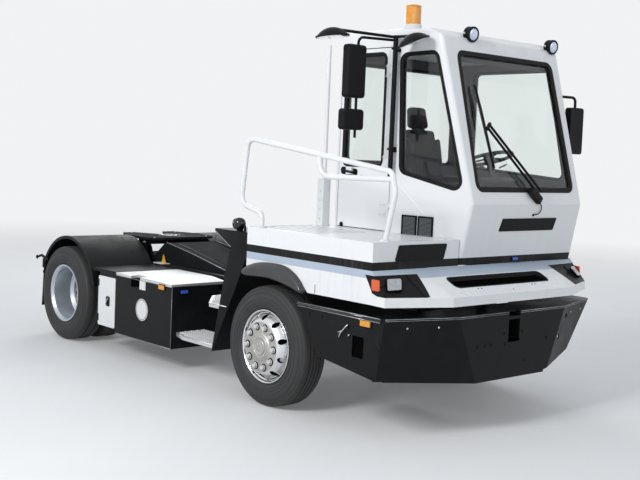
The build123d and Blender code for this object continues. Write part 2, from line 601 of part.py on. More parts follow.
def bumper():
    """Separate plates: two sides, three front faces, the top ledge and the tow recess."""
    skin = bumper_form(0, 0, 0, 0) - bumper_form(BUMPER_WALL, 1, BUMPER_WALL, 50)
    skin -= block(300, BUMPER_BEND_X - 330, -BUMPER_Y + BUMPER_WALL, BUMPER_Y - BUMPER_WALL, BUMPER_TOP - 30, BUMPER_TOP + 10)
    for piece in bumper_trim():
        skin -= piece
    half = TOW_SLOT_W / 2
    skin -= block(BUMPER_BEND_X - 40, BUMPER_BEND_X + 10, -half, half, 700, BUMPER_TOP + 5)
    skin -= block(1057, 1162, -BUMPER_Y - 1, -BUMPER_Y + 6, 600, 744)
    for y, z in ((720, 820), (600, 660)):
        skin -= rod((BUMPER_BEND_X - 200, y, z), (BUMPER_BEND_X + 50, y, z), 22)
    far = BUMPER_BEND_X + 200
    inner = BUMPER_Y - BUMPER_WALL
    ledge = block(300, far, -inner, inner, BUMPER_TOP - BUMPER_WALL, BUMPER_TOP + 50)
    middle = slab_yz([(-BUMPER_BEND_LOW_Y, BUMPER_BOTTOM), (BUMPER_BEND_LOW_Y, BUMPER_BOTTOM),
                      (BUMPER_BEND_Y, BUMPER_TOP), (-BUMPER_BEND_Y, BUMPER_TOP)], 1180, far)
    sides = [block(300, far, s * inner, s * (inner + 50), 200, 1000) for s in (-1, 1)]
    front = skin - ledge - sides[0] - sides[1]
    corners = [(front - middle) & block(300, far, 0, s * inner, 200, 1000) for s in (-1, 1)]
    ledges = [skin & ledge & block(300, far, y0, y1, 200, 1000)
              for y0, y1 in ((-inner, -BUMPER_BEND_Y), (-BUMPER_BEND_Y, 0), (0, BUMPER_BEND_Y), (BUMPER_BEND_Y, inner))]
    plates = [skin & sides[0], skin & sides[1], front & middle] + corners + ledges
    cross = block(RAIL_FRONT, RAIL_FRONT + 60, -620, 620, RAIL_BOTTOM, RAIL_TOP)
    ties = [block(RAIL_FRONT + 60, BUMPER_BEND_X - BUMPER_WALL, s * 380, s * 400, RAIL_BOTTOM, RAIL_TOP) for s in (-1, 1)]
    jaws = [block(RAIL_FRONT + 60, BUMPER_BEND_X, -half, half, z, z + 25) for z in (675, 850)]
    jaws = [jaw - rod((1480, 0, 600), (1480, 0, 1000), TOW_PIN_HOLE_R) for jaw in jaws]
    cheeks = [block(RAIL_FRONT + 60, BUMPER_BEND_X - BUMPER_WALL, s * half, s * (half + 12), 640, 890) for s in (-1, 1)]
    whole = []
    for piece in plates + [cross] + ties + jaws + cheeks:
        whole += piece.solids()
    return Compound(children=whole)


# Rear mudguards, flaps and lamps
def rear_mudguard(side):
    """A barrel over the twin wheels with a wall at its inner edge and a rubber flap."""
    x = -WHEELBASE
    arc = rod_y(x, GUARD_Z, side * GUARD_IN_Y, side * GUARD_OUT_Y, GUARD_R)
    arc -= rod_y(x, GUARD_Z, side * (GUARD_IN_Y - 5), side * (GUARD_OUT_Y + 5), GUARD_R - GUARD_T)
    lip = rod_y(x, GUARD_Z, side * (GUARD_OUT_Y - GUARD_LIP), side * GUARD_OUT_Y, GUARD_R + GUARD_T / 2)
    lip -= rod_y(x, GUARD_Z, side * (GUARD_OUT_Y - GUARD_LIP - 5), side * (GUARD_OUT_Y + 5), GUARD_R - GUARD_LIP)
    front, rear = math.radians(12.0), math.radians(152.0)
    reach = 1400.0
    wedge = [(x, GUARD_Z), (x + reach * math.cos(front), GUARD_Z + reach * math.sin(front)), (x, GUARD_Z + reach),
             (x + reach * math.cos(rear), GUARD_Z + reach * math.sin(rear))]
    arc = (arc + lip) & slab_xz(wedge, side * (GUARD_IN_Y - 10), side * (GUARD_OUT_Y + 10))
    end_x = x + (GUARD_R - GUARD_T) * math.cos(rear)
    end_z = GUARD_Z + (GUARD_R - GUARD_T) * math.sin(rear)
    flap = slab_xz([(end_x - 32, 285), (end_x - 32 - GUARD_T, 285), (end_x - GUARD_T, end_z + 2), (end_x, end_z + 2)],
                   side * (GUARD_IN_Y + 108), side * GUARD_OUT_Y)
    bracket = block(x - 30, x + 30, side * RAIL_OUT, side * (GUARD_IN_Y + 48), RAIL_TOP - 60, RAIL_TOP)
    strut = block(x - 30, x + 30, side * GUARD_IN_Y, side * (GUARD_IN_Y + 48), RAIL_TOP - 1, GUARD_Z + GUARD_R - 2)
    stay = block(x - 12, x + 12, side * (GUARD_IN_Y + 10), side * (GUARD_OUT_Y - 40), GUARD_Z + GUARD_R - 24, GUARD_Z + GUARD_R - 4)
    return join([arc, flap, bracket, strut, stay])


def rear_lamps():
    """A cross plate behind the rails with a lamp box at each end."""
    bar = block(RAIL_REAR - 20, RAIL_REAR, -BOX_Y, BOX_Y, 700, 780)
    boxes = [block(RAIL_REAR - 60, RAIL_REAR - 20, s * 760, s * 1150, 690, 790) for s in (-1, 1)]
    plate = block(RAIL_REAR - 34, RAIL_REAR - 19, -130, 130, 560, 720)
    return join([bar] + boxes + [plate])


# Handrail round the platform, and the masts behind the cab
RAIL_TUBE_R = 21.0


def handrails():
    y = -1165.0
    front_y = -1030.0
    main = pipe([(-162, y, DECK_TOP), (-162, y, 1556), (-450, y, 1622), (-381, y, 2168), (250, y + 35, 2085),
                 (1170, front_y, 1955), (1215, front_y, 1800), (1125, front_y, DECK_TOP - 20)],
                [60, 100, 80, 400, 60, 60], RAIL_TUBE_R)
    low = pipe([(450, y + 62, 2058), (470, y + 62, 1890), (1200, front_y, 1898)], [100], RAIL_TUBE_R)
    return (main + low) - block(-600, 1400, -1300, -800, DECK_TOP - 60, DECK_TOP)


def masts():
    pole = rod((-250, -420, DECK_TOP), (-250, -420, 3000), 17)
    foot = block(-290, -210, -460, -380, DECK_TOP, 1850)
    return join([pole, foot])


# Cab: one hollow form, split where its panels meet
def cab_form(inset):
    """The cab's outer form drawn in by inset: side profile, then the slanted quarter."""
    base_x = 1190.0 - inset
    waist_x = CAB_WAIST_X - inset
    brow_x = CAB_BROW_X - inset
    rear = CAB_REAR + inset
    low = CAB_BASE + inset
    top = CAB_TOP - inset
    profile = [(rear, low), (base_x, low), (waist_x, CAB_WAIST_Z), (brow_x, CAB_BROW_Z - inset),
               (brow_x - 130, top), (rear + 90, top), (rear, top - 50)]
    body = slab_xz(profile, CAB_RIGHT + inset, CAB_LEFT - inset)
    slope = (CAB_FRONT_RIGHT - CAB_RIGHT) / (CAB_WAIST_X - CAB_POST_X)
    far = 1500.0
    cut = slab_xy([(CAB_POST_X, CAB_RIGHT + inset), (far, CAB_RIGHT + inset + slope * (far - CAB_POST_X)),
                   (far, CAB_RIGHT - 300), (CAB_POST_X - 300, CAB_RIGHT - 300), (CAB_POST_X - 300, CAB_RIGHT + inset)],
                  CAB_BASE - 50, CAB_TOP + 50)
    return body - cut


def cab_outside():
    """The cab's outer form with its long edges rounded."""
    form = cab_form(0)
    edges = form.edges().filter_by(lambda e: e.length > 200 and e.center().Z > CAB_BASE + 5)
    edges = edges.filter_by(lambda e: abs(e.center().Z - CAB_WAIST_Z) > 5 or abs(e.center().X - CAB_WAIST_X) > 60)
    return fillet(edges, CAB_EDGE_R)


def rounded_along(shape, axis, radius):
    return fillet(shape.edges().filter_by(axis), radius)


def windscreen_hole(gap):
    pane = slab_yz([(-166 + gap, 1826 + gap), (1094 - gap, 1826 + gap), (1075 - gap, 2922 - gap), (-150 + gap, 2922 - gap)], 880, 1400)
    return rounded_along(pane, Axis.X, WINDOW_R - gap)


def quarter_hole(gap):
    pane = slab_xz([(597 + gap, 1941 + gap), (1199 - gap, 1807 + gap), (901 - gap, 2909 - gap), (560 + gap, 2895 - gap)], -500, -150)
    return rounded_along(pane, Axis.Y, WINDOW_R - gap)


def door_hole(gap):
    return slab_xz([(DOOR_REAR - gap, DOOR_BOTTOM - gap), (CAB_POST_X - 25 + gap, DOOR_BOTTOM - gap),
                    (CAB_POST_X - 25 + gap, DOOR_TOP + gap), (DOOR_REAR - gap, DOOR_TOP + gap)],
                   CAB_RIGHT - 50, CAB_RIGHT + CAB_WALL + 5)


def door_glass_hole(gap):
    pane = slab_xz([(-78 + gap, 1975 + gap), (402 - gap, 1975 + gap), (402 - gap, 2908 - gap), (-78 + gap, 2908 - gap)],
                   CAB_RIGHT - 50, CAB_RIGHT + CAB_WALL + 5)
    return rounded_along(pane, Axis.Y, WINDOW_R - 10 - gap)


def left_hole(gap):
    pane = slab_xz([(40 + gap, 1985 + gap), (1120 - gap, 1905 + gap), (890 - gap, 2880 - gap), (40 + gap, 2880 - gap)],
                   CAB_LEFT - 80, CAB_LEFT + 50)
    return rounded_along(pane, Axis.Y, WINDOW_R - gap)


def rear_hole(gap):
    pane = slab_yz([(-270 + gap, 2000 + gap), (1100 - gap, 2000 + gap), (1100 - gap, 2860 - gap), (-270 + gap, 2860 - gap)],
                   CAB_REAR - 50, CAB_REAR + 80)
    return rounded_along(pane, Axis.X, WINDOW_R - gap)


def make_cab():
    outer = cab_outside()
    shell = outer - cab_form(CAB_WALL)
    for hole in (windscreen_hole(0), quarter_hole(0), left_hole(0), rear_hole(0), door_hole(DOOR_GAP)):
        shell -= hole
    far = CAB_LEFT + 800
    low = CAB_BASE - 50
    roof_cut = block(-far, far, -far, far, ROOF_BOTTOM, CAB_TOP + 200)
    floor_cut = block(-far, far, -far, far, low, CAB_BASE + CAB_WALL)
    middle = shell - roof_cut - floor_cut
    rear_cut = block(-far, CAB_REAR + CAB_WALL, -far, far, low, CAB_TOP + 200)
    front_cut = slab_xz([(1065, low), (far, low), (far, CAB_TOP + 200), (700, CAB_TOP + 200), (CAB_BROW_X - 78, CAB_BROW_Z),
                         (CAB_WAIST_X - 70, CAB_WAIST_Z), (1110, CAB_BASE)], -far, far)
    body = middle - rear_cut - front_cut
    left_cut = block(-far, far, 400, far, low, CAB_TOP + 200)
    save("cab_roof", shell & roof_cut)
    save("cab_floor", shell & floor_cut)
    save("cab_rear", middle & rear_cut)
    save("cab_front", (middle - rear_cut) & front_cut)
    save("cab_left", body & left_cut)
    quarter = body - left_cut
    save("cab_quarter", join([quarter] + [fixed_hinge(z) for z in HINGE_ZS]))
    return outer


def make_glass():
    inset = 14.0
    skin = cab_form(inset) - cab_form(inset + GLASS_T)
    panes = [skin & windscreen_hole(0.3), skin & quarter_hole(0.3), skin & left_hole(0.3), skin & rear_hole(0.3)]
    save("cab_glass", Compound(children=[pane for pane in panes]))
    door = cab_form(0) - cab_form(CAB_WALL)
    leaf = (door & door_hole(0)) - door_glass_hole(0)
    handle = block(-10, 60, CAB_RIGHT - 25, CAB_RIGHT, 1900, 1960)
    eyes = [hinge_eye(z + HINGE_H / 3 + 0.3, z + 2 * HINGE_H / 3 - 0.3, -45) for z in HINGE_ZS]
    save("cab_door", join([leaf, handle] + eyes))
    save("door_glass", skin & door_glass_hole(0.3))


HINGE_ZS = (1560.0, 1955.0, 2700.0)
HINGE_H = 126.0
HINGE_EYE_R = 14.0


def hinge_eye(low, high, reach):
    """A bored hinge barrel with its leaf flat on the wall beside it."""
    barrel = rod((HINGE_X, HINGE_Y, low), (HINGE_X, HINGE_Y, high), HINGE_EYE_R)
    strap = block(HINGE_X, HINGE_X + reach, HINGE_Y - 2, CAB_RIGHT, low, high)
    return (barrel + strap) - rod((HINGE_X, HINGE_Y, low - 1), (HINGE_X, HINGE_Y, high + 1), HINGE_R + 0.3)


def fixed_hinge(low):
    """The two outer barrels on the post with the pin through them."""
    third = HINGE_H / 3
    pieces = [rod((HINGE_X, HINGE_Y, low), (HINGE_X, HINGE_Y, low + HINGE_H), HINGE_R)]
    for z in (low, low + 2 * third):
        pieces.append(rod((HINGE_X, HINGE_Y, z), (HINGE_X, HINGE_Y, z + third), HINGE_EYE_R))
        pieces.append(block(HINGE_X, HINGE_X + 30, HINGE_Y - 2, CAB_RIGHT + 3, z, z + third))
    return join(pieces)


def seat_base():
    column = block(130, 530, 200, 600, CAB_BASE + CAB_WALL, 1640)
    return column


def cushion():
    pad = block(110, 600, 160, 640, 1640.3, 1760)
    return fillet(pad.edges().filter_by(Axis.Z), 60)


def backrest():
    pad = slab_xz([(120, 1760.3), (240, 1760.3), (150, 2300), (120, 2360), (40, 2360), (40, 2300)], 170, 630)
    head = slab_xz([(112, 2350), (140, 2355), (130, 2540), (50, 2540), (55, 2350)], 270, 530)
    return pad + head


def dashboard():
    """Console below the windscreen with the column and the steering wheel."""
    console = block(900, 1400, -120, 1120, CAB_BASE + CAB_WALL, 1800)
    console = console & cab_form(CAB_WALL + 0.3)
    foot = Vector(985, 400, 1780)
    centre = Vector(890, 400, 2080)
    column = rod((foot.X, foot.Y, foot.Z), (centre.X, centre.Y, centre.Z), 30)
    axis = (centre - foot).normalized()
    ring = Plane(origin=centre, z_dir=axis) * Torus(195, 15)
    hub = Plane(origin=centre, z_dir=axis) * Cylinder(45, 40)
    spokes = []
    plane = Plane(origin=centre, z_dir=axis)
    for angle in (90, 210, 330):
        spokes.append(plane * Rot(0, 0, angle) * Pos(100, 0, 0) * Box(200, 26, 12))
    return join([console, column, ring, hub] + spokes)


# Roof lamps, beacon, mirrors and wiper
def roof_lamps():
    pieces = []
    for y in (40.0, 1110.0):
        housing = rod((890, y, 3082), (960, y, 3072), 60)
        housing = fillet(housing.edges().sort_by(Axis.X)[0], 24)
        foot = block(890, 920, y - 12, y + 12, 3020, 3060)
        pieces.append(housing)
        pieces.append(foot)
    outside = cab_outside()
    return Compound(children=[join(pieces[0:2]) - outside, join(pieces[2:4]) - outside])


def beacon():
    x, y = 553, -240
    base = rod((x, y, CAB_TOP - 1), (x, y, CAB_TOP + 40), 70)
    lens = rod((x, y, CAB_TOP + 40), (x, y, CAB_TOP + 205), 65)
    lens = fillet(lens.edges().sort_by(Axis.Z)[-1], 30)
    return (base + lens) - cab_outside()


def mirror_head(x, y0, y1, z0, z1, corner):
    head = block(x - 70, x - 5, y0, y1, z0, z1)
    head = fillet(head.edges().filter_by(Axis.X), corner)
    return fillet(head.edges().group_by(Axis.X)[-1], 18)


def dome(x, y, z, up):
    """A wide convex mirror: a cap of a sphere with its glass below."""
    cap_r, cap_h = 132.0, 76.0
    ball_r = (cap_r * cap_r + cap_h * cap_h) / (2 * cap_h)
    cap = Pos(0, 0, cap_h - ball_r) * Sphere(ball_r)
    cap = cap & Pos(0, 0, 150) * Box(400, 400, 300)
    return Plane(origin=(x, y, z), z_dir=up) * cap


def mirrors():
    x = MIRROR_X
    y = CAB_RIGHT - 45
    tube = rod((x, y, 1900), (x, y, 3040), 20)
    stays = [block(x - 15, x + 15, y, CAB_RIGHT + 12, z, z + 40) for z in (2100, 2910)]
    arm = pipe([(x, y, 3000), (x - 30, -800, 2990), (x - 30, -800, 2200)], [50], 11)
    main = mirror_head(x, -920, -722, 2513, 2929, 28)
    lower = mirror_head(x, -945, -725, 2261, 2426, 28)
    long_arm = rod((x, y, 3025), (425, -1000, 3036), 12)
    convex = dome(425, -1000, 2974, (-0.07, -0.08, 0.99))
    near = dome(775, -450, 2965, (-0.26, -0.29, 0.92))
    near_arm = rod((x, y, 3030), (740, -455, 3020), 12)
    right = join([tube, arm, main, lower, long_arm, convex, near, near_arm] + stays)
    left_main = fillet(block(1000, 1060, 1290, 1480, 2150, 2560).edges().filter_by(Axis.X), 28)
    left_arm = pipe([(990, CAB_LEFT - 8, 2650), (1030, 1385, 2650), (1030, 1385, 2350)], [40], 12)
    left = join([left_main, left_arm])
    outside = cab_outside()
    return Compound(children=[right - outside, left - outside])


def wiper():
    slope = (CAB_BROW_X - CAB_WAIST_X) / (CAB_BROW_Z - CAB_WAIST_Z)

    def face_x(z):
        return CAB_WAIST_X + slope * (z - CAB_WAIST_Z) + 8

    hub = rod((face_x(1790) - 8, 545, 1790), (face_x(1790) + 35, 545, 1790), 35)
    arm = rod((face_x(1790) + 22, 545, 1790), (face_x(2325) + 22, 20, 2325), 10)
    blade = rod((face_x(2000) + 12, 60, 2000), (face_x(2650) + 12, -20, 2650), 9)
    link = rod((face_x(2325) + 4, 20, 2325), (face_x(2325) + 28, 20, 2325), 14)
    return join([hub, arm, blade, link]) - cab_outside()


# Lifting boom, fifth wheel and cylinders
BOOM_HUMP_X = PLATE_X + 440
BOOM_HUMP_Z = 1050.0
BOOM_FOOT_X = PLATE_X + 230
BOOM_REAR_TOP = 890.0
BOOM_ROOT_TOP = 850.0
BOOM_TOP_LINE = [(BOOM_PIVOT_X + 90, BOOM_ROOT_TOP), (BOOM_HUMP_X, BOOM_HUMP_Z), (BOOM_FOOT_X, BOOM_REAR_TOP)]
BOOM_END = PLATE_X - 120
BOOM_LOW = 715.0
COVER_DROP = 20.0


def cover_z(x):
    """The height of the boom's cover plate's lower face at x."""
    line = [(BOOM_PIVOT_X - 100, BOOM_ROOT_TOP), (BOOM_HUMP_X, BOOM_HUMP_Z - COVER_DROP),
            (BOOM_FOOT_X, BOOM_REAR_TOP - COVER_DROP), (BOOM_END, BOOM_REAR_TOP - COVER_DROP)]
    for (x1, z1), (x0, z0) in zip(line, line[1:]):
        if x >= x0:
            return z0 + (z1 - z0) * (min(x, x1) - x0) / (x1 - x0)
    return line[-1][1]


def lift_boom():
    """Two side plates with a sloping top plate, the pivot tube and the plate's bearings."""
    outline = BOOM_TOP_LINE + [(BOOM_END, BOOM_REAR_TOP), (BOOM_END, BOOM_LOW), (BOOM_PIVOT_X + 60, BOOM_LOW)]
    pieces = []
    for side in (-1, 1):
        pieces.append(slab_xz(outline, side * BOOM_OUT_Y, side * (BOOM_OUT_Y - BOOM_PLATE)))
    inside = BOOM_OUT_Y - BOOM_PLATE
    under = [(x, cover_z(x)) for x in (BOOM_PIVOT_X - 100, BOOM_HUMP_X, BOOM_FOOT_X, BOOM_END)]
    cover = under + [(x, z + 14) for x, z in under[::-1]]
    pieces.append(slab_xz(cover, -inside, inside))
    tube = rod_y(BOOM_PIVOT_X, BOOM_PIVOT_Z, -inside, inside, BOOM_PIN_R + 22)
    pieces.append(tube)
    whole = join(pieces)
    for side in (-1, 1):
        lug_foot = BOOM_REAR_TOP - COVER_DROP + 2
        lug = slab_xz([(PLATE_X - 90, lug_foot), (PLATE_X + 90, lug_foot), (PLATE_X + 40, PLATE_PIVOT_Z + 35),
                       (PLATE_X - 40, PLATE_PIVOT_Z + 35)], side * 280, side * 250)
        pin = rod_y(PLATE_X, PLATE_PIVOT_Z, side * 250, side * 330, PLATE_PIN_R)
        whole = whole + lug + pin
        low, rear, front = CYL_EYE_Z - 45, CYL_EYE_X - 45, CYL_EYE_X + 45
        top = [(x, cover_z(x) + 6) for x in (front, min(max(BOOM_HUMP_X, rear + 1), front - 1), rear)]
        eye_lugs = [slab_xz([(rear, low), (front, low)] + top, side * y, side * (y + 18))
                    for y in (CYL_Y - 52, CYL_Y + 34)]
        whole = join([whole] + eye_lugs)
        whole += rod_y(CYL_EYE_X, CYL_EYE_Z, side * (CYL_Y - 52), side * (CYL_Y + 52), CYL_PIN_R)
    bore = rod_y(BOOM_PIVOT_X, BOOM_PIVOT_Z, -BOOM_OUT_Y - 5, BOOM_OUT_Y + 5, BOOM_PIN_R + ROUND_GAP)
    return whole - bore


def fifth_wheel():
    """The coupling plate with its throat, jaw block and bearing ears."""
    outline = [(PLATE_X + PLATE_FRONT, -300), (PLATE_X + PLATE_FRONT, 300), (PLATE_X + 230, PLATE_HALF_W),
               (PLATE_X - 200, PLATE_HALF_W), (PLATE_X - PLATE_REAR, 330), (PLATE_X - PLATE_REAR, 190),
               (PLATE_X - 150, 45), (PLATE_X - 60, 45), (PLATE_X - 60, -45), (PLATE_X - 150, -45),
               (PLATE_X - PLATE_REAR, -190), (PLATE_X - PLATE_REAR, -330), (PLATE_X - 200, -PLATE_HALF_W),
               (PLATE_X + 230, -PLATE_HALF_W)]
    plate = slab_xy(outline, PLATE_TOP - PLATE_T, PLATE_TOP)
    jaw = block(PLATE_X - 90, PLATE_X + 90, -90, 90, PLATE_TOP - 70, PLATE_TOP - PLATE_T + 1)
    skirt = block(PLATE_X + 180, PLATE_X + 200, -380, 380, PLATE_TOP - 75, PLATE_TOP - PLATE_T + 1)
    ears = [slab_xz([(PLATE_X - 60, PLATE_PIVOT_Z - 30), (PLATE_X + 60, PLATE_PIVOT_Z - 30),
                     (PLATE_X + 110, PLATE_TOP - PLATE_T + 1), (PLATE_X - 110, PLATE_TOP - PLATE_T + 1)],
                    s * 286, s * 330) for s in (-1, 1)]
    whole = join([plate, jaw, skirt] + ears)
    for side in (-1, 1):
        whole -= rod_y(PLATE_X, PLATE_PIVOT_Z, side * 240, side * 340, PLATE_PIN_R + ROUND_GAP)
    whole -= rod((PLATE_X, 0, PLATE_TOP - 100), (PLATE_X, 0, PLATE_TOP + 10), KINGPIN_HOLE_R)
    return whole


def cylinder_line():
    base = Vector(CYL_BASE_X, 0, CYL_BASE_Z)
    eye = Vector(CYL_EYE_X, 0, CYL_EYE_Z)
    return base, eye, (eye - base).normalized()


def lift_barrels():
    base, eye, along = cylinder_line()
    length = (eye - base).length
    pieces = []
    for side in (-1, 1):
        y = side * CYL_Y
        start = base + along * 30
        end = base + along * (length - 70)
        tube = rod((start.X, y, start.Z), (end.X, y, end.Z), CYL_R)
        bore_start = base + along * 60
        bore_end = base + along * length
        tube -= rod((bore_start.X, y, bore_start.Z), (bore_end.X, y, bore_end.Z), CYL_ROD_R + 1.0)
        boss = rod_y(CYL_BASE_X, CYL_BASE_Z, y - CYL_R + 1, y + CYL_R - 1, CYL_PIN_R + 18)
        piece = tube + boss
        piece -= rod_y(CYL_BASE_X, CYL_BASE_Z, y - 100, y + 100, CYL_PIN_R + ROUND_GAP)
        pieces.append(piece)
    return Compound(children=pieces)


def lift_rods():
    base, eye, along = cylinder_line()
    length = (eye - base).length
    pieces = []
    for side in (-1, 1):
        y = side * CYL_Y
        start = base + along * 75
        end = base + along * (length - 20)
        bar = rod((start.X, y, start.Z), (end.X, y, end.Z), CYL_ROD_R)
        boss = rod_y(CYL_EYE_X, CYL_EYE_Z, y - 29, y + 29, CYL_PIN_R + 25)
        piece = bar + boss
        piece -= rod_y(CYL_EYE_X, CYL_EYE_Z, y - 60, y + 60, CYL_PIN_R + CYL_EYE_SLACK)
        pieces.append(piece)
    return Compound(children=pieces)


make_wheels()
save("front_axle", front_axle())
save("knuckle_right", knuckle(-1))
save("knuckle_left", knuckle(1))
save("rear_axle", rear_axle())
save("chassis_frame", chassis_frame())
save("engine_block", engine_block())
save("side_tanks", side_tanks())
save("side_locker", side_locker())
save("treads", treads())
save("front_mudguards", front_mudguards())
save("body_side_right", body_side(-1, DECK_TOP))
save("body_side_left", body_side(1, CAB_BASE - 1))
save("platform_deck", platform_deck())
save("front_panel", front_panel())
save("front_grille", front_grille())
save("front_lamps", front_lamps())
save("bumper", bumper())
save("rear_mudguards", Compound(children=[rear_mudguard(-1), rear_mudguard(1)]))
save("rear_lamps", rear_lamps())
save("handrails", handrails())
save("masts", masts())
make_cab()
make_glass()
save("seat_base", seat_base())
save("seat_cushion", cushion())
save("seat_back", backrest())
save("dashboard", dashboard())
save("roof_lamps", roof_lamps())
save("beacon", beacon())
save("mirrors", mirrors())
save("wiper", wiper())
save("lift_boom", lift_boom())
save("fifth_wheel", fifth_wheel())
save("lift_barrels", lift_barrels())
save("lift_rods", lift_rods())
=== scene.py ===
import json
import math

import bmesh
import bpy
from bpy.props import FloatProperty, FloatVectorProperty, IntProperty, PointerProperty
from mathutils import Matrix, Vector

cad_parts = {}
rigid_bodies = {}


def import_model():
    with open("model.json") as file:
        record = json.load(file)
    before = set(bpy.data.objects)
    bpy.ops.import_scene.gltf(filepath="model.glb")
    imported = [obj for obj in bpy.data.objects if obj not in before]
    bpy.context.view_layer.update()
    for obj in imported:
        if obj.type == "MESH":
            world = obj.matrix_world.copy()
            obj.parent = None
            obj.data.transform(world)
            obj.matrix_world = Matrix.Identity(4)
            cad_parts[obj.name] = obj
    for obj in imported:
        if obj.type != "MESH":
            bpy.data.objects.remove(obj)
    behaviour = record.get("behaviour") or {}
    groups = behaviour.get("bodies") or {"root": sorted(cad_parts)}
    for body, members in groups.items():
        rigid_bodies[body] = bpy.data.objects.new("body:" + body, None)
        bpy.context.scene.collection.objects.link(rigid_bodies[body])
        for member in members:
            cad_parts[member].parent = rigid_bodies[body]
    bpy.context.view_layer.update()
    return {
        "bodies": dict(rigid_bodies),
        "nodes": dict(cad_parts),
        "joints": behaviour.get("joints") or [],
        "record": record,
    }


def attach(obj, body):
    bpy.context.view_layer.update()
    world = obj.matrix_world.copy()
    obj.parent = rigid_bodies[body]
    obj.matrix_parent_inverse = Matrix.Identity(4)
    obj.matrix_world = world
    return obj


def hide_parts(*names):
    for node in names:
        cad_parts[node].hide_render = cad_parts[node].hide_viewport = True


bl_info = {
    "name": "Terminal tractor",
    "version": (1, 0, 0),
    "blender": (4, 5, 0),
    "location": "View3D > Sidebar > Tractor",
    "description": "Dresses the packed terminal tractor with its surfaces and small parts",
    "category": "Object",
}

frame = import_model()
NODES = frame["nodes"]

# Places shared by several pieces, in metres
WHEELBASE = 3.4
AXLE_Z = 0.489
TYRE_R = 0.4925
RIM_R = 0.2985
FRONT_TYRE_Y = 1.0975
REAR_TYRE_Y = (1.0915, 0.7795)


# Colours and sizes that a user would change
class TractorColours(bpy.types.PropertyGroup):
    paint: FloatVectorProperty(name="Paint", description="Cab and body paint", subtype="COLOR",
                               default=(0.78, 0.79, 0.80), min=0, max=1)
    band: FloatVectorProperty(name="Band", description="Thin band round the body", subtype="COLOR",
                              default=(0.42, 0.49, 0.58), min=0, max=1)
    rubber: FloatVectorProperty(name="Rubber", description="Tyres and flares", subtype="COLOR",
                                default=(0.040, 0.0395, 0.040), min=0, max=1)
    glass: FloatVectorProperty(name="Glass", description="Window tint", subtype="COLOR",
                               default=(0.93, 0.965, 0.95), min=0, max=1)
    amber: FloatVectorProperty(name="Amber", description="Beacon and indicators", subtype="COLOR",
                               default=(0.85, 0.33, 0.008), min=0, max=1)


class TractorSizes(bpy.types.PropertyGroup):
    tread_blocks: IntProperty(name="Tread blocks", description="Blocks round a tyre", default=60, min=20, max=90)
    tread_depth: FloatProperty(name="Tread depth", description="Height of the tread blocks", default=0.010,
                               min=0.002, max=0.02, unit="LENGTH")


# Shader building
def node(tree, kind, links=(), **values):
    """A shader node with its values set and its inputs linked."""
    made = tree.nodes.new(kind)
    for name, value in values.items():
        if name.startswith("in_"):
            made.inputs[int(name[3:])].default_value = value
        else:
            setattr(made, name, value)
    for socket, source in links:
        tree.links.new(source, made.inputs[socket])
    return made


def mix_colour(tree, factor, first, second):
    """Mixes two colours, each a socket or a plain colour."""
    made = tree.nodes.new("ShaderNodeMix")
    made.data_type = "RGBA"
    tree.links.new(factor, made.inputs[0])
    for index, value in ((6, first), (7, second)):
        if isinstance(value, bpy.types.NodeSocket):
            tree.links.new(value, made.inputs[index])
        else:
            made.inputs[index].default_value = (*value, 1)
    return made.outputs[2]


def ramp(tree, source, low, high, start=0.0, end=1.0):
    """Maps low..high of a value to start..end, clamped."""
    made = node(tree, "ShaderNodeMapRange", [(0, source)])
    for index, value in ((1, low), (2, high), (3, start), (4, end)):
        made.inputs[index].default_value = value
    return made.outputs[0]


def noise(tree, coords, scale, detail=4.0, roughness=0.55):
    made = node(tree, "ShaderNodeTexNoise", [("Vector", coords)])
    made.inputs["Scale"].default_value = scale
    made.inputs["Detail"].default_value = detail
    made.inputs["Roughness"].default_value = roughness
    return made.outputs["Fac"]


def stretched(tree, coords, scale):
    made = node(tree, "ShaderNodeMapping", [("Vector", coords)])
    made.inputs["Scale"].default_value = scale
    return made.outputs[0]


def new_material(name):
    mat = bpy.data.materials.new(name)
    mat.use_nodes = True
    tree = mat.node_tree
    shader = tree.nodes["Principled BSDF"]
    coords = tree.nodes.new("ShaderNodeTexCoord").outputs["Object"]
    return mat, tree, shader, coords


def finish(name, colour, roughness=0.5, metallic=0.0, dirt=(0.16, 0.13, 0.10), dirt_amount=0.3, dirt_scale=3.0,
           grain=120.0, grain_height=0.0004, spread=0.12, coat=0.0, brushed=None, specular=0.5):
    """A surface with patchy dirt, a changing roughness and a fine grain."""
    mat, tree, shader, coords = new_material(name)
    broad = noise(tree, coords, dirt_scale, 6.0, 0.62)
    fine = noise(tree, stretched(tree, coords, brushed) if brushed else coords, grain, 3.0)
    soil = ramp(tree, broad, 0.48, 0.78, 0.0, dirt_amount)
    base = mix_colour(tree, soil, colour, dirt)
    tree.links.new(base, shader.inputs["Base Color"])
    tree.links.new(ramp(tree, broad, 0.3, 0.7, roughness - spread, roughness + spread), shader.inputs["Roughness"])
    bump = node(tree, "ShaderNodeBump", [("Height", fine)])
    bump.inputs["Strength"].default_value = 0.5
    bump.inputs["Distance"].default_value = grain_height
    tree.links.new(bump.outputs[0], shader.inputs["Normal"])
    shader.inputs["Metallic"].default_value = metallic
    shader.inputs["Specular IOR Level"].default_value = specular
    shader.inputs["Coat Weight"].default_value = coat
    shader.inputs["Coat Roughness"].default_value = 0.12
    return mat


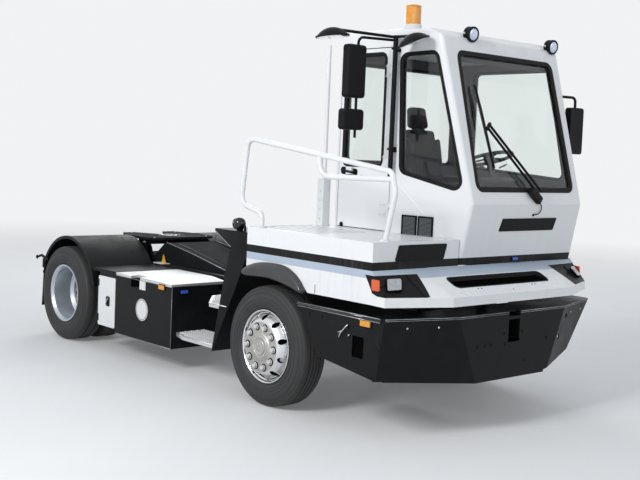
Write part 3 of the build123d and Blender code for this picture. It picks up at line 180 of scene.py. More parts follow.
def body_paint(name, colour, band):
    """White paint with the black and the pale band round the body, by height."""
    mat, tree, shader, coords = new_material(name)
    split = node(tree, "ShaderNodeSeparateXYZ", [(0, coords)])
    height = split.outputs[2]
    above = node(tree, "ShaderNodeMath", [(0, height)], operation="GREATER_THAN", in_1=1.2355).outputs[0]
    below = node(tree, "ShaderNodeMath", [(0, height)], operation="LESS_THAN", in_1=1.296).outputs[0]
    black = node(tree, "ShaderNodeMath", [(0, above), (1, below)], operation="MULTIPLY").outputs[0]
    under = node(tree, "ShaderNodeMath", [(0, height)], operation="LESS_THAN", in_1=1.2355).outputs[0]
    over = node(tree, "ShaderNodeMath", [(0, height)], operation="GREATER_THAN", in_1=1.178).outputs[0]
    pale = node(tree, "ShaderNodeMath", [(0, under), (1, over)], operation="MULTIPLY").outputs[0]
    broad = noise(tree, coords, 1.7, 6.0, 0.6)
    streak = noise(tree, stretched(tree, coords, (9.0, 9.0, 0.7)), 2.2, 5.0, 0.7)
    grime = node(tree, "ShaderNodeMath", [(0, ramp(tree, broad, 0.45, 0.8)), (1, ramp(tree, streak, 0.45, 0.85))],
                 operation="MULTIPLY").outputs[0]
    low_down = ramp(tree, height, 1.5, 1.0, 0.12, 0.75)
    amount = node(tree, "ShaderNodeMath", [(0, grime), (1, low_down)], operation="MULTIPLY").outputs[0]
    base = mix_colour(tree, pale, colour, band)
    base = mix_colour(tree, black, base, (0.006, 0.006, 0.0065))
    base = mix_colour(tree, amount, base, (0.33, 0.29, 0.24))
    tree.links.new(base, shader.inputs["Base Color"])
    tree.links.new(ramp(tree, broad, 0.3, 0.7, 0.24, 0.42), shader.inputs["Roughness"])
    peel = noise(tree, coords, 55.0, 2.0)
    bump = node(tree, "ShaderNodeBump", [("Height", peel)])
    bump.inputs["Strength"].default_value = 0.25
    bump.inputs["Distance"].default_value = 0.0006
    tree.links.new(bump.outputs[0], shader.inputs["Normal"])
    shader.inputs["Specular IOR Level"].default_value = 0.16
    shader.inputs["Coat Weight"].default_value = 0.04
    shader.inputs["Coat Roughness"].default_value = 0.1
    return mat


def axle_distance(tree, coords, x):
    """Distance of the shaded point from the axle line at x."""
    flat = node(tree, "ShaderNodeVectorMath", [(0, coords)], operation="MULTIPLY_ADD")
    flat.inputs[1].default_value = (1.0, 0.0, 1.0)
    flat.inputs[2].default_value = (-x, 0.0, -AXLE_Z)
    return node(tree, "ShaderNodeVectorMath", [(0, flat.outputs[0])], operation="LENGTH").outputs["Value"]


def painted_light_by_radius(mat, axles, radius, painted_tone, keep=0.0):
    """Give a surface another tone inside a radius round its axles; used for painted sheen and painted shade."""
    tree = mat.node_tree
    shader = next(item for item in tree.nodes if item.type == "BSDF_PRINCIPLED")
    coords = next(item for item in tree.nodes if item.type == "TEX_COORD").outputs["Object"]
    near = axle_distance(tree, coords, axles[0])
    for x in axles[1:]:
        near = node(tree, "ShaderNodeMath", [(0, near), (1, axle_distance(tree, coords, x))],
                    operation="MINIMUM").outputs[0]
    socket = shader.inputs["Base Color"]
    before = socket.links[0].from_socket
    share = ramp(tree, near, radius - 0.004, radius + 0.004, keep, 1.0)
    tree.links.new(mix_colour(tree, share, painted_tone, before), socket)
    return mat


def clear_glass(name, colour, roughness=0.02):
    mat, tree, shader, coords = new_material(name)
    dust = ramp(tree, noise(tree, coords, 2.5, 6.0, 0.6), 0.35, 0.8, roughness, roughness + 0.05)
    tree.links.new(dust, shader.inputs["Roughness"])
    tint = mix_colour(tree, ramp(tree, noise(tree, coords, 1.2), 0.3, 0.7), colour, [c * 0.96 for c in colour])
    tree.links.new(tint, shader.inputs["Base Color"])
    shader.inputs["Transmission Weight"].default_value = 1.0
    shader.inputs["IOR"].default_value = 1.35
    return mat


def lens(name, colour, ribs=260.0):
    """Coloured lamp plastic with moulded ribs."""
    mat, tree, shader, coords = new_material(name)
    wave = node(tree, "ShaderNodeTexWave", [("Vector", coords)], bands_direction="Y")
    wave.inputs["Scale"].default_value = ribs
    bump = node(tree, "ShaderNodeBump", [("Height", wave.outputs["Fac"])])
    bump.inputs["Strength"].default_value = 0.6
    bump.inputs["Distance"].default_value = 0.0008
    tree.links.new(bump.outputs[0], shader.inputs["Normal"])
    depth = ramp(tree, noise(tree, coords, 30.0), 0.3, 0.7)
    tree.links.new(mix_colour(tree, depth, colour, [c * 0.8 for c in colour]), shader.inputs["Base Color"])
    shader.inputs["Roughness"].default_value = 0.12
    shader.inputs["Coat Weight"].default_value = 0.6
    shader.inputs["Subsurface Weight"].default_value = 0.15
    return mat


def make_materials(colours):
    paint = tuple(colours.paint)
    return {
        "paint": body_paint("white_body_paint", paint, tuple(colours.band)),
        "plain_paint": finish("plain_white_paint", paint, 0.34, dirt_amount=0.12, coat=0.3, grain=55.0),
        "bumper": finish("bumper_steel", (0.0055, 0.006, 0.007), 0.40, dirt=(0.026, 0.025, 0.024), dirt_amount=0.3,
                         grain=40.0, grain_height=0.0012, specular=0.14),
        "gloss": finish("black_enamel", (0.006, 0.007, 0.010), 0.14, dirt=(0.03, 0.03, 0.03), dirt_amount=0.2,
                        grain=30.0, grain_height=0.0003, specular=0.6, spread=0.05),
        # Near-black with no sheen, laid into recesses, holes, the nose slot and under nuts: painted shade.
        "painted_shade": finish("painted_shade_black", (0.0015, 0.0015, 0.0015), 0.9, dirt=(0.004, 0.004, 0.004), dirt_amount=0.3,
                       grain=60.0, specular=0.02),
        "disc": finish("machined_disc", (0.50, 0.49, 0.47), 0.42, metallic=0.85, dirt=(0.24, 0.21, 0.17),
                       dirt_amount=0.5, dirt_scale=11.0, grain=160.0, grain_height=0.0005),
        "chassis": finish("chassis_steel", (0.012, 0.0125, 0.013), 0.6, dirt=(0.045, 0.040, 0.035), dirt_amount=0.45,
                          grain=60.0, grain_height=0.0015, specular=0.16),
        "guard": finish("guard_plastic", (0.0075, 0.0078, 0.009), 0.55, dirt=(0.03, 0.029, 0.028), dirt_amount=0.25,
                        grain=150.0, grain_height=0.0006, specular=0.2),
        # Tyre walls within the radius get a painted sheen tone; the tread outside keeps the plain rubber.
        "rubber": painted_light_by_radius(finish("tyre_rubber", tuple(colours.rubber), 0.62, dirt=(0.060, 0.054, 0.048),
                                         dirt_amount=0.5, dirt_scale=6.0, grain=220.0, grain_height=0.0005,
                                         spread=0.10, specular=0.35),
                                  (0.0, -WHEELBASE), 0.468, (0.034, 0.034, 0.037), 0.35),
        "flare": finish("flare_rubber", (0.024, 0.025, 0.028), 0.30, dirt=(0.09, 0.085, 0.08), dirt_amount=0.25,
                        grain=180.0, grain_height=0.0004, coat=0.2),
        "alloy": finish("tread_aluminium", (0.72, 0.73, 0.74), 0.45, metallic=0.75, dirt=(0.34, 0.32, 0.30),
                        dirt_amount=0.35, grain=90.0, brushed=(1, 12, 1)),
        "reflector": finish("lamp_reflector", (0.60, 0.70, 0.86), 0.14, metallic=0.9, dirt=(0.20, 0.24, 0.30),
                            dirt_amount=0.4, dirt_scale=20.0, grain=60.0, grain_height=0.0008, spread=0.05),
        "rim": finish("polished_rim", (0.78, 0.79, 0.80), 0.28, metallic=1.0, dirt=(0.35, 0.33, 0.30), dirt_amount=0.25,
                      dirt_scale=5.0, grain=70.0, spread=0.08),
        # The rear rims' disc inside the radius, deep in the dish, gets painted shade.
        "rear_rim": painted_light_by_radius(finish("grey_rim_painted_shade", (0.56, 0.60, 0.65), 0.36, metallic=0.75,
                                           dirt=(0.26, 0.27, 0.28), dirt_amount=0.45, grain=70.0),
                                    (-WHEELBASE,), 0.236, (0.070, 0.072, 0.078), 0.08),
        "bright": finish("worn_bright_steel", (0.62, 0.63, 0.64), 0.32, metallic=1.0, dirt=(0.12, 0.11, 0.10),
                         dirt_amount=0.5, dirt_scale=9.0, grain=120.0),
        "iron": finish("cast_iron", (0.055, 0.055, 0.055), 0.7, metallic=0.3, dirt=(0.13, 0.10, 0.07),
                       dirt_amount=0.6, grain=160.0, grain_height=0.0015),
        "boom": finish("greased_steel", (0.0085, 0.0095, 0.0115), 0.82, dirt=(0.040, 0.037, 0.034), dirt_amount=0.4,
                       grain=80.0, grain_height=0.001, specular=0.1, spread=0.08),
        "plastic": finish("black_plastic", (0.007, 0.007, 0.008), 0.50, dirt=(0.03, 0.029, 0.028), dirt_amount=0.2,
                          grain=320.0, grain_height=0.0005, specular=0.12),
        "trim": finish("cab_trim", (0.055, 0.057, 0.062), 0.62, dirt=(0.10, 0.10, 0.10), dirt_amount=0.2,
                       grain=420.0, grain_height=0.0006),
        "chrome": finish("chromed_rod", (0.75, 0.76, 0.77), 0.12, metallic=1.0, dirt_amount=0.1, spread=0.05,
                         grain=40.0, grain_height=0.0001),
        "cloth": finish("seat_cloth", (0.020, 0.020, 0.023), 0.85, dirt=(0.05, 0.05, 0.05), dirt_amount=0.3,
                        grain=500.0, grain_height=0.001, spread=0.05),
        "glass": clear_glass("window_glass", tuple(colours.glass)),
        "amber": lens("amber_lens", tuple(colours.amber)),
        "indicator": lens("indicator_lens", (0.78, 0.105, 0.012)),
        "red": lens("red_lens", (0.45, 0.02, 0.02)),
        "clear": lens("clear_lens", (0.42, 0.43, 0.45)),
        "blue": lens("blue_lens", (0.02, 0.10, 0.65)),
        "mirror": finish("mirror_glass", (0.8, 0.82, 0.84), 0.04, metallic=1.0, dirt_amount=0.03, spread=0.02,
                         grain=5.0, grain_height=0.00001),
        "yellow": finish("yellow_paint", (0.75, 0.45, 0.02), 0.45, dirt_amount=0.3),
        "lining": finish("cab_lining_grey", (0.075, 0.080, 0.086), 0.7, dirt=(0.13, 0.13, 0.13), dirt_amount=0.2,
                         grain=350.0, grain_height=0.0007),
        "seal": finish("window_rubber", (0.007, 0.007, 0.008), 0.55, dirt=(0.04, 0.04, 0.036), dirt_amount=0.2, specular=0.15,
                       grain=260.0, grain_height=0.0003),
        "vent": finish("louvre_aluminium", (0.36, 0.38, 0.40), 0.38, metallic=0.8, dirt=(0.15, 0.15, 0.15),
                       dirt_amount=0.5, grain=140.0),
        # Thin bright lines on edges: rubbed metal, and on the bumper rails also painted highlights.
        "edge": finish("rubbed_edge_and_painted_highlight", (0.42, 0.43, 0.44), 0.38, metallic=0.9, dirt=(0.05, 0.05, 0.05), dirt_amount=0.7,
                       dirt_scale=14.0, grain=120.0),
        "grit": finish("anti_slip_strip", (0.62, 0.63, 0.63), 0.85, dirt=(0.35, 0.32, 0.28), dirt_amount=0.4,
                       grain=600.0, grain_height=0.002, specular=0.2),
        "grease": finish("dark_grease", (0.012, 0.011, 0.010), 0.25, dirt=(0.05, 0.04, 0.03), dirt_amount=0.3,
                         grain=30.0, grain_height=0.002),
        "blank": finish("pale_plastic", (0.72, 0.73, 0.72), 0.45, dirt=(0.30, 0.28, 0.25), dirt_amount=0.3,
                        grain=160.0, grain_height=0.0005),
    }


MATS = {}

NODE_FINISH = {
    "chassis_frame": "chassis", "engine_block": "iron", "front_axle": "chassis", "rear_axle": "iron",
    # The front grille gets painted shade black, for the dark inside of the nose slot.
    "bumper": "bumper", "front_panel": "paint", "front_grille": "painted_shade", "front_lamps": "plastic",
    "body_side_right": "paint", "body_side_left": "paint", "platform_deck": "paint", "front_mudguards": "guard",
    "treads": "alloy", "side_tanks": "bumper", "side_locker": "bumper", "rear_mudguards": "guard",
    "rear_lamps": "chassis", "handrails": "plain_paint", "masts": "plain_paint", "cab_floor": "paint",
    "cab_front": "paint", "cab_quarter": "paint", "cab_left": "paint", "cab_rear": "paint", "cab_roof": "plain_paint",
    "cab_glass": "glass", "seat_base": "plastic", "seat_cushion": "cloth", "seat_back": "cloth",
    "dashboard": "trim", "roof_lamps": "plastic", "beacon": "amber", "mirrors": "plastic", "wiper": "plastic",
    "cab_door": "paint", "door_glass": "glass", "knuckle_right": "iron", "knuckle_left": "iron",
    "front_rim_right": "rim", "front_rim_left": "rim", "front_tyre_right": "rubber", "front_tyre_left": "rubber",
    "rear_rim_right": "rear_rim", "rear_rim_left": "rear_rim", "rear_tyres_right": "rubber",
    "rear_tyres_left": "rubber", "lift_boom": "boom", "fifth_wheel": "boom", "lift_barrels": "chassis",
    "lift_rods": "chrome",
}

# Mesh building
def corner_arc(before, here, after, radius, steps):
    """The points of an arc that rounds off the corner at here."""
    back = (before - here).normalized()
    ahead = (after - here).normalized()
    half = back.angle(ahead) / 2
    if radius < 1e-5 or half > 1.565:
        return [here.copy() for _ in range(steps + 1)]
    centre = here + (back + ahead).normalized() * (radius / math.sin(half))
    first = here + back * (radius / math.tan(half)) - centre
    last = here + ahead * (radius / math.tan(half)) - centre
    sweep = first.angle(last)
    made = []
    for k in range(steps + 1):
        share = k / steps
        made.append(centre + (first * math.sin((1 - share) * sweep) + last * math.sin(share * sweep)) / math.sin(sweep))
    return made


def rounded_outline(points, radius, grow=0.0, steps=6):
    """A flat closed outline, grown by a distance, with its corners turned into arcs."""
    count = len(points)
    flat = [Vector(p) for p in points]
    area = sum(flat[i].x * flat[(i + 1) % count].y - flat[(i + 1) % count].x * flat[i].y for i in range(count))
    turn = 1 if area > 0 else -1
    lines = []
    for i in range(count):
        along = (flat[(i + 1) % count] - flat[i]).normalized()
        lines.append((flat[i] + Vector((along.y, -along.x)) * turn * grow, along))
    corners = []
    for i in range(count):
        (p, u), (q, v) = lines[i - 1], lines[i]
        gap = q - p
        corners.append(p + u * ((gap.x * v.y - gap.y * v.x) / (u.x * v.y - u.y * v.x)))
    made = []
    for i in range(count):
        made += corner_arc(corners[i - 1], corners[i], corners[(i + 1) % count], max(radius + grow, 0.001), steps)
    return made


def rounded_path(points, radius, steps=6):
    """An open line of points whose inner corners are turned into arcs."""
    points = [Vector(p) for p in points]
    made = [points[0]]
    for before, here, after in zip(points, points[1:], points[2:]):
        made += corner_arc(before, here, after, radius, steps)
    return made + [points[-1]]


def facing(origin, side, up):
    """A frame at origin: its X runs along side, its Y along up, and its Z stands out."""
    x = Vector(side).normalized()
    z = x.cross(Vector(up)).normalized()
    y = z.cross(x)
    return Matrix.Translation(origin) @ Matrix((x, y, z)).transposed().to_4x4()


def along_axis(origin, direction):
    """A frame at origin whose Z runs along a direction."""
    return Matrix.Translation(origin) @ Vector(direction).to_track_quat("Z", "Y").to_matrix().to_4x4()


class Piece:
    """Closed mesh parts with their finishes, gathered into one object that rides on a body."""

    def __init__(self, name, body="chassis"):
        self.name = name
        self.body = body
        self.bm = bmesh.new()
        self.keys = []

    def add(self, part, key, smooth=False, place=None):
        if key not in self.keys:
            self.keys.append(key)
        bmesh.ops.recalc_face_normals(part, faces=part.faces[:])
        for face in part.faces:
            face.material_index = self.keys.index(key)
            face.smooth = smooth
        if place is not None:
            bmesh.ops.transform(part, matrix=place, verts=part.verts[:])
        mesh = bpy.data.meshes.new("part")
        part.to_mesh(mesh)
        self.bm.from_mesh(mesh)
        bpy.data.meshes.remove(mesh)
        part.free()
        return self

    def block(self, low, high, key, bevel=0.003, place=None):
        """A box with rounded edges."""
        part = bmesh.new()
        bmesh.ops.create_cube(part, size=1.0)
        size = [b - a for a, b in zip(low, high)]
        for vert in part.verts:
            vert.co = Vector([a + (0.5 + c) * s for a, c, s in zip(low, vert.co, size)])
        reach = min(bevel, 0.4 * min(size))
        bmesh.ops.bevel(part, geom=part.edges[:], offset=reach, segments=2, profile=0.5, affect="EDGES")
        return self.add(part, key, place=place)

    def turned(self, outline, key, place=None, steps=40, smooth=True, closed=False):
        """A body turned about its own Z, from (radius, height) points."""
        part = bmesh.new()
        rings = []
        for radius, height in outline:
            spots = 1 if radius < 1e-6 else steps
            rings.append([part.verts.new((radius * math.cos(2 * math.pi * i / steps),
                                          radius * math.sin(2 * math.pi * i / steps), height)) for i in range(spots)])
        pairs = list(zip(rings, rings[1:]))
        if closed:
            pairs.append((rings[-1], rings[0]))
        for first, last in pairs:
            for i in range(steps):
                j = (i + 1) % steps
                quad = [first[i % len(first)], first[j % len(first)], last[j % len(last)], last[i % len(last)]]
                corners = list(dict.fromkeys(quad))
                if len(corners) > 2:
                    part.faces.new(corners)
        return self.add(part, key, smooth, place)

    def drum(self, radius, low, high, key, place=None, steps=24, bevel=0.002):
        """A short cylinder with broken edges."""
        outline = [(0, low), (radius - bevel, low), (radius, low + bevel), (radius, high - bevel), (radius - bevel, high), (0, high)]
        return self.turned(outline, key, place, steps, smooth=False)

    def tube(self, points, radius, key, steps=10, closed=False, smooth=True):
        """A round bar along a line of points."""
        part = bmesh.new()
        points = [Vector(p) for p in points]
        count = len(points)
        side = None
        rings = []
        for i, point in enumerate(points):
            before = points[i - 1] if i or closed else point
            after = points[(i + 1) % count] if i + 1 < count or closed else point
            along = (after - before).normalized()
            if side is None:
                side = along.orthogonal()
            side = (side - along * side.dot(along)).normalized()
            up = along.cross(side)
            ring = []
            for k in range(steps):
                angle = 2 * math.pi * k / steps
                ring.append(part.verts.new(point + (side * math.cos(angle) + up * math.sin(angle)) * radius))
            rings.append(ring)
        pairs = list(zip(rings, rings[1:]))
        if closed:
            pairs.append((rings[-1], rings[0]))
        for first, last in pairs:
            for i in range(steps):
                j = (i + 1) % steps
                part.faces.new((first[i], first[j], last[j], last[i]))
        if not closed:
            part.faces.new(rings[0])
            part.faces.new(rings[-1][::-1])
        return self.add(part, key, smooth)

    def plate(self, outline, depth, key, bevel=0.0015):
        """A flat plate: an outline of 3-D points pushed along a vector, its far rim broken."""
        part = bmesh.new()
        low = [part.verts.new(p) for p in outline]
        high = [part.verts.new(Vector(p) + Vector(depth)) for p in outline]
        part.faces.new(low)
        part.faces.new(high[::-1])
        count = len(low)
        for i in range(count):
            part.faces.new((low[i], low[(i + 1) % count], high[(i + 1) % count], high[i]))
        if bevel:
            top = set(high)
            rim = [edge for edge in part.edges if edge.verts[0] in top and edge.verts[1] in top]
            bmesh.ops.bevel(part, geom=rim, offset=bevel, segments=2, profile=0.5, affect="EDGES")
        return self.add(part, key)

    def band(self, loops, key, smooth=False):
        """A closed ring of strips through loops of equal counts; the last joins the first."""
        part = bmesh.new()
        rings = [[part.verts.new(p) for p in loop] for loop in loops]
        count = len(rings[0])
        for first, last in zip(rings, rings[1:] + rings[:1]):
            for i in range(count):
                j = (i + 1) % count
                part.faces.new((first[i], first[j], last[j], last[i]))
        return self.add(part, key, smooth)

    def mesh(self):
        """The gathered mesh with its materials."""
        mesh = bpy.data.meshes.new(self.name)
        bmesh.ops.remove_doubles(self.bm, verts=self.bm.verts[:], dist=1e-7)
        self.bm.to_mesh(mesh)
        self.bm.free()
        for key in self.keys:
            mesh.materials.append(MATS[key])
        return mesh

    def done(self, *replaced):
        return settle(self.name, self.mesh(), self.body, replaced)


def settle(name, mesh, body, replaced=()):
    """A finished mesh as an object on its body, standing for the CAD nodes that it replaces."""
    made = bpy.data.objects.new(name, mesh)
    bpy.context.scene.collection.objects.link(made)
    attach(made, body)
    if replaced:
        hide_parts(*replaced)
    return made


# Repeated items
def repeat_tree(kind):
    """A node tree that puts an item on each point of a ring, or of the object's own mesh."""
    tree = bpy.data.node_groups.new(f"items_on_{kind}", "GeometryNodeTree")
    face = tree.interface
    face.new_socket("Geometry", in_out="INPUT", socket_type="NodeSocketGeometry")
    face.new_socket("Item", in_out="INPUT", socket_type="NodeSocketObject")
    face.new_socket("Finish", in_out="INPUT", socket_type="NodeSocketMaterial")
    face.new_socket("Count", in_out="INPUT", socket_type="NodeSocketInt")
    face.new_socket("Radius", in_out="INPUT", socket_type="NodeSocketFloat")
    face.new_socket("Geometry", in_out="OUTPUT", socket_type="NodeSocketGeometry")
    given = tree.nodes.new("NodeGroupInput").outputs
    put = tree.nodes.new("GeometryNodeInstanceOnPoints")
    item = tree.nodes.new("GeometryNodeObjectInfo")
    tree.links.new(given["Item"], item.inputs["Object"])
    tree.links.new(item.outputs["Geometry"], put.inputs["Instance"])
    if kind == "ring":
        circle = tree.nodes.new("GeometryNodeMeshCircle")
        tree.links.new(given["Count"], circle.inputs["Vertices"])
        tree.links.new(given["Radius"], circle.inputs["Radius"])
        tree.links.new(circle.outputs["Mesh"], put.inputs["Points"])
        turn = tree.nodes.new("FunctionNodeAlignRotationToVector")
        turn.axis = "X"
        tree.links.new(tree.nodes.new("GeometryNodeInputPosition").outputs[0], turn.inputs["Vector"])
        tree.links.new(turn.outputs["Rotation"], put.inputs["Rotation"])
    else:
        tree.links.new(given["Geometry"], put.inputs["Points"])
    real = tree.nodes.new("GeometryNodeRealizeInstances")
    tree.links.new(put.outputs["Instances"], real.inputs[0])
    paint = tree.nodes.new("GeometryNodeSetMaterial")
    tree.links.new(real.outputs[0], paint.inputs["Geometry"])
    tree.links.new(given["Finish"], paint.inputs["Material"])
    out = tree.nodes.new("NodeGroupOutput")
    tree.links.new(paint.outputs["Geometry"], out.inputs[0])
    return tree


TREES = {}


def repeated(item, key, points=None, count=0, radius=0.0, place=None):
    """The mesh of an item set on every point, or round a ring, as plain geometry."""
    kind = "points" if points else "ring"
    if kind not in TREES:
        TREES[kind] = repeat_tree(kind)
    tree = TREES[kind]
    collection = bpy.context.scene.collection
    pattern = bpy.data.objects.new("pattern", item.mesh())
    base = bpy.data.meshes.new("places")
    base.from_pydata([tuple(p) for p in points or ()], [], [])
    holder = bpy.data.objects.new("places", base)
    for thing in (pattern, holder):
        collection.objects.link(thing)
    modifier = holder.modifiers.new("repeat", "NODES")
    modifier.node_group = tree
    sockets = {item.name: item.identifier for item in tree.interface.items_tree if item.in_out == "INPUT"}
    modifier[sockets["Item"]] = pattern
    modifier[sockets["Finish"]] = MATS[key]
    modifier[sockets["Count"]] = count
    modifier[sockets["Radius"]] = radius
    bpy.context.view_layer.update()
    graph = bpy.context.evaluated_depsgraph_get()
    mesh = bpy.data.meshes.new_from_object(holder.evaluated_get(graph), depsgraph=graph)
    for thing in (holder, pattern):
        bpy.data.objects.remove(thing)
    if not mesh.polygons:
        raise RuntimeError("a repeated item gave no faces")
    if place is not None:
        mesh.transform(place)
    return mesh


def spread(name, body, jobs):
    """One object made of several repeated meshes with one finish each."""
    whole = bmesh.new()
    mats = []
    for mesh, key in jobs:
        if MATS[key] not in mats:
            mats.append(MATS[key])
        for polygon in mesh.polygons:
            polygon.material_index = mats.index(MATS[key])
        whole.from_mesh(mesh)
        bpy.data.meshes.remove(mesh)
    mesh = bpy.data.meshes.new(name)
    whole.to_mesh(mesh)
    whole.free()
    for mat in mats:
        mesh.materials.append(mat)
    return settle(name, mesh, body)


def hex_bolt(across, height, washer=0.0):
    """A bolt head standing along Z, with a washer below it where one is wanted."""
    item = Piece("bolt")
    if washer:
        item.turned([(0, 0), (washer, 0), (washer, 0.002), (0, 0.002)], "bright", steps=12, smooth=False)
    corner = across / math.sqrt(3)
    item.turned([(0, 0), (corner, 0), (corner, height * 0.85), (corner * 0.86, height), (0, height)], "bright", steps=6,
                smooth=False)
    return item


def stud(radius, height, steps=8):
    item = Piece("stud")
    item.turned([(0, 0), (radius, 0), (radius * 0.8, height * 0.7), (0, height)], "bright", steps=steps, smooth=False)
    return item


def grid_points(low, high, pitch, z, inside=None, shift=True):
    """Points of a staggered grid on a level rectangle, kept where inside says so."""
    made = []
    rows = int((high[1] - low[1]) / pitch)
    columns = int((high[0] - low[0]) / pitch)
    for row in range(rows + 1):
        for column in range(columns + 1):
            x = low[0] + pitch * (column + (0.5 if shift and row % 2 else 0.0))
            y = low[1] + pitch * row
            if x <= high[0] and (inside is None or inside(x, y)):
                made.append((x, y, z))
    return made


# The camera's place and turn, found from the photograph's own lines
CAMERA_AT = (6.527, -6.482, 2.074)
CAMERA_TURN = (2.4146, -0.0608, -0.0412)
FOCAL_PX = 1045.0
IMAGE_W = 640.0
CENTRE_DROP_PX = 24.0


BACKGROUND = (0.93, 0.94, 0.95)
BACKGROUND_LEVEL = 0.95


def seen_directly(tree):
    """One for camera, glossy and transmission rays, else nought."""
    path = tree.nodes.new("ShaderNodeLightPath")
    first = node(tree, "ShaderNodeMath", [(0, path.outputs["Is Camera Ray"]), (1, path.outputs["Is Glossy Ray"])],
                 operation="MAXIMUM").outputs[0]
    return node(tree, "ShaderNodeMath", [(0, first), (1, path.outputs["Is Transmission Ray"])],
                operation="MAXIMUM").outputs[0]


def camera_matrix():
    yaw, pitch, roll = CAMERA_TURN
    ahead = Vector((math.cos(pitch) * math.cos(yaw), math.cos(pitch) * math.sin(yaw), math.sin(pitch)))
    right = Vector((math.sin(yaw), -math.cos(yaw), 0.0))
    down = -right.cross(ahead)
    c, s = math.cos(roll), math.sin(roll)
    side = c * right + s * down
    low = -s * right + c * down
    turn = Matrix((side, -low, -ahead)).transposed().to_4x4()
    return Matrix.Translation(CAMERA_AT) @ turn


class STAGE_OT_studio(bpy.types.Operator):
    """Floor, sky, lamps and the camera at the photograph's angle"""
    bl_idname = "tractor.studio"
    bl_label = "Studio"

    def execute(self, context):
        scene = context.scene
        scene.view_settings.view_transform = "Standard"
        data = bpy.data.cameras.new("camera")
        data.sensor_fit = "HORIZONTAL"
        data.sensor_width = 36.0
        data.lens = 36.0 * FOCAL_PX / IMAGE_W
        data.shift_y = -CENTRE_DROP_PX / IMAGE_W
        data.clip_end = 200.0
        camera = bpy.data.objects.new("camera", data)
        camera.matrix_world = camera_matrix()
        scene.collection.objects.link(camera)
        scene.camera = camera

        mesh = bpy.data.meshes.new("floor")
        mesh.from_pydata([(-60, -60, 0), (60, -60, 0), (60, 60, 0), (-60, 60, 0)], [], [(0, 1, 2, 3)])
        floor = bpy.data.objects.new("floor", mesh)
        scene.collection.objects.link(floor)
        mat, tree, shader, coords = new_material("studio_floor")
        speckle = ramp(tree, noise(tree, coords, 0.6, 6.0), 0.3, 0.7)
        tree.links.new(mix_colour(tree, speckle, (0.78, 0.78, 0.78), (0.82, 0.82, 0.815)), shader.inputs["Base Color"])
        shader.inputs["Roughness"].default_value = 0.85
        shader.inputs["Specular IOR Level"].default_value = 0.2
        away = node(tree, "ShaderNodeVectorMath", [(0, coords)], operation="LENGTH").outputs["Value"]
        fade = node(tree, "ShaderNodeMath", [(0, ramp(tree, away, 5.0, 20.0, 0.12, 1.0)), (1, seen_directly(tree))],
                    operation="MULTIPLY").outputs[0]
        glow = tree.nodes.new("ShaderNodeEmission")
        glow.inputs[0].default_value = (*BACKGROUND, 1)
        glow.inputs[1].default_value = BACKGROUND_LEVEL
        blended = node(tree, "ShaderNodeMixShader", [(0, fade), (1, shader.outputs[0]), (2, glow.outputs[0])])
        tree.links.new(blended.outputs[0], tree.nodes["Material Output"].inputs[0])
        mesh.materials.append(mat)

        world = bpy.data.worlds.new("studio_sky")
        scene.world = world
        world.use_nodes = True
        tree = world.node_tree
        sky = tree.nodes["Background"]
        sky.inputs[0].default_value = (0.86, 0.92, 1.0, 1)
        sky.inputs[1].default_value = 0.55
        seen = tree.nodes.new("ShaderNodeBackground")
        seen.inputs[0].default_value = (*BACKGROUND, 1)
        seen.inputs[1].default_value = BACKGROUND_LEVEL
        most = seen_directly(tree)
        mixed = tree.nodes.new("ShaderNodeMixShader")
        tree.links.new(most, mixed.inputs[0])
        tree.links.new(sky.outputs[0], mixed.inputs[1])
        tree.links.new(seen.outputs[0], mixed.inputs[2])
        tree.links.new(mixed.outputs[0], tree.nodes["World Output"].inputs[0])

        for name, at, to, size, power in (("key", (1.5, -9.5, 6.5), (-0.8, 0, 1.2), 3.0, 640.0),
                                          ("front", (9.0, 1.0, 5.0), (0, 0, 1.5), 5.0, 110.0),
                                          ("rear", (-8.0, 5.0, 6.0), (-1, 0, 1.0), 5.0, 240.0)):
            lamp = bpy.data.lights.new(name, "AREA")
            lamp.size = size
            lamp.energy = power
            holder = bpy.data.objects.new(name, lamp)
            aim = Vector(to) - Vector(at)
            holder.matrix_world = Matrix.Translation(at) @ aim.to_track_quat("-Z", "Y").to_matrix().to_4x4()
            scene.collection.objects.link(holder)
        return {"FINISHED"}


class TRACTOR_OT_surfaces(bpy.types.Operator):
    """Paint, metal, rubber and glass for every solid part"""
    bl_idname = "tractor.surfaces"
    bl_label = "Surfaces"

    def execute(self, context):
        MATS.update(make_materials(context.scene.tractor_colours))
        for name, key in NODE_FINISH.items():
            target = NODES[name]
            for index in range(len(target.data.materials)):
                target.data.materials[index] = MATS[key]
        return {"FINISHED"}


# Wheels
WHEELS = (("front_right", "front_wheel_r", 0.0, -1, (FRONT_TYRE_Y,)), ("front_left", "front_wheel_l", 0.0, 1, (FRONT_TYRE_Y,)),
          ("rear_right", "rear_wheels_r", -WHEELBASE, -1, REAR_TYRE_Y), ("rear_left", "rear_wheels_l", -WHEELBASE, 1, REAR_TYRE_Y))


def wheel_frame(x, y, side=1):
    """A frame at a wheel's middle whose Z runs along the axle, outwards."""
    return facing((x, y, AXLE_Z), (0, 0, 1), (1, 0, 0)) if side > 0 else facing((x, y, AXLE_Z), (0, 0, 1), (-1, 0, 0))


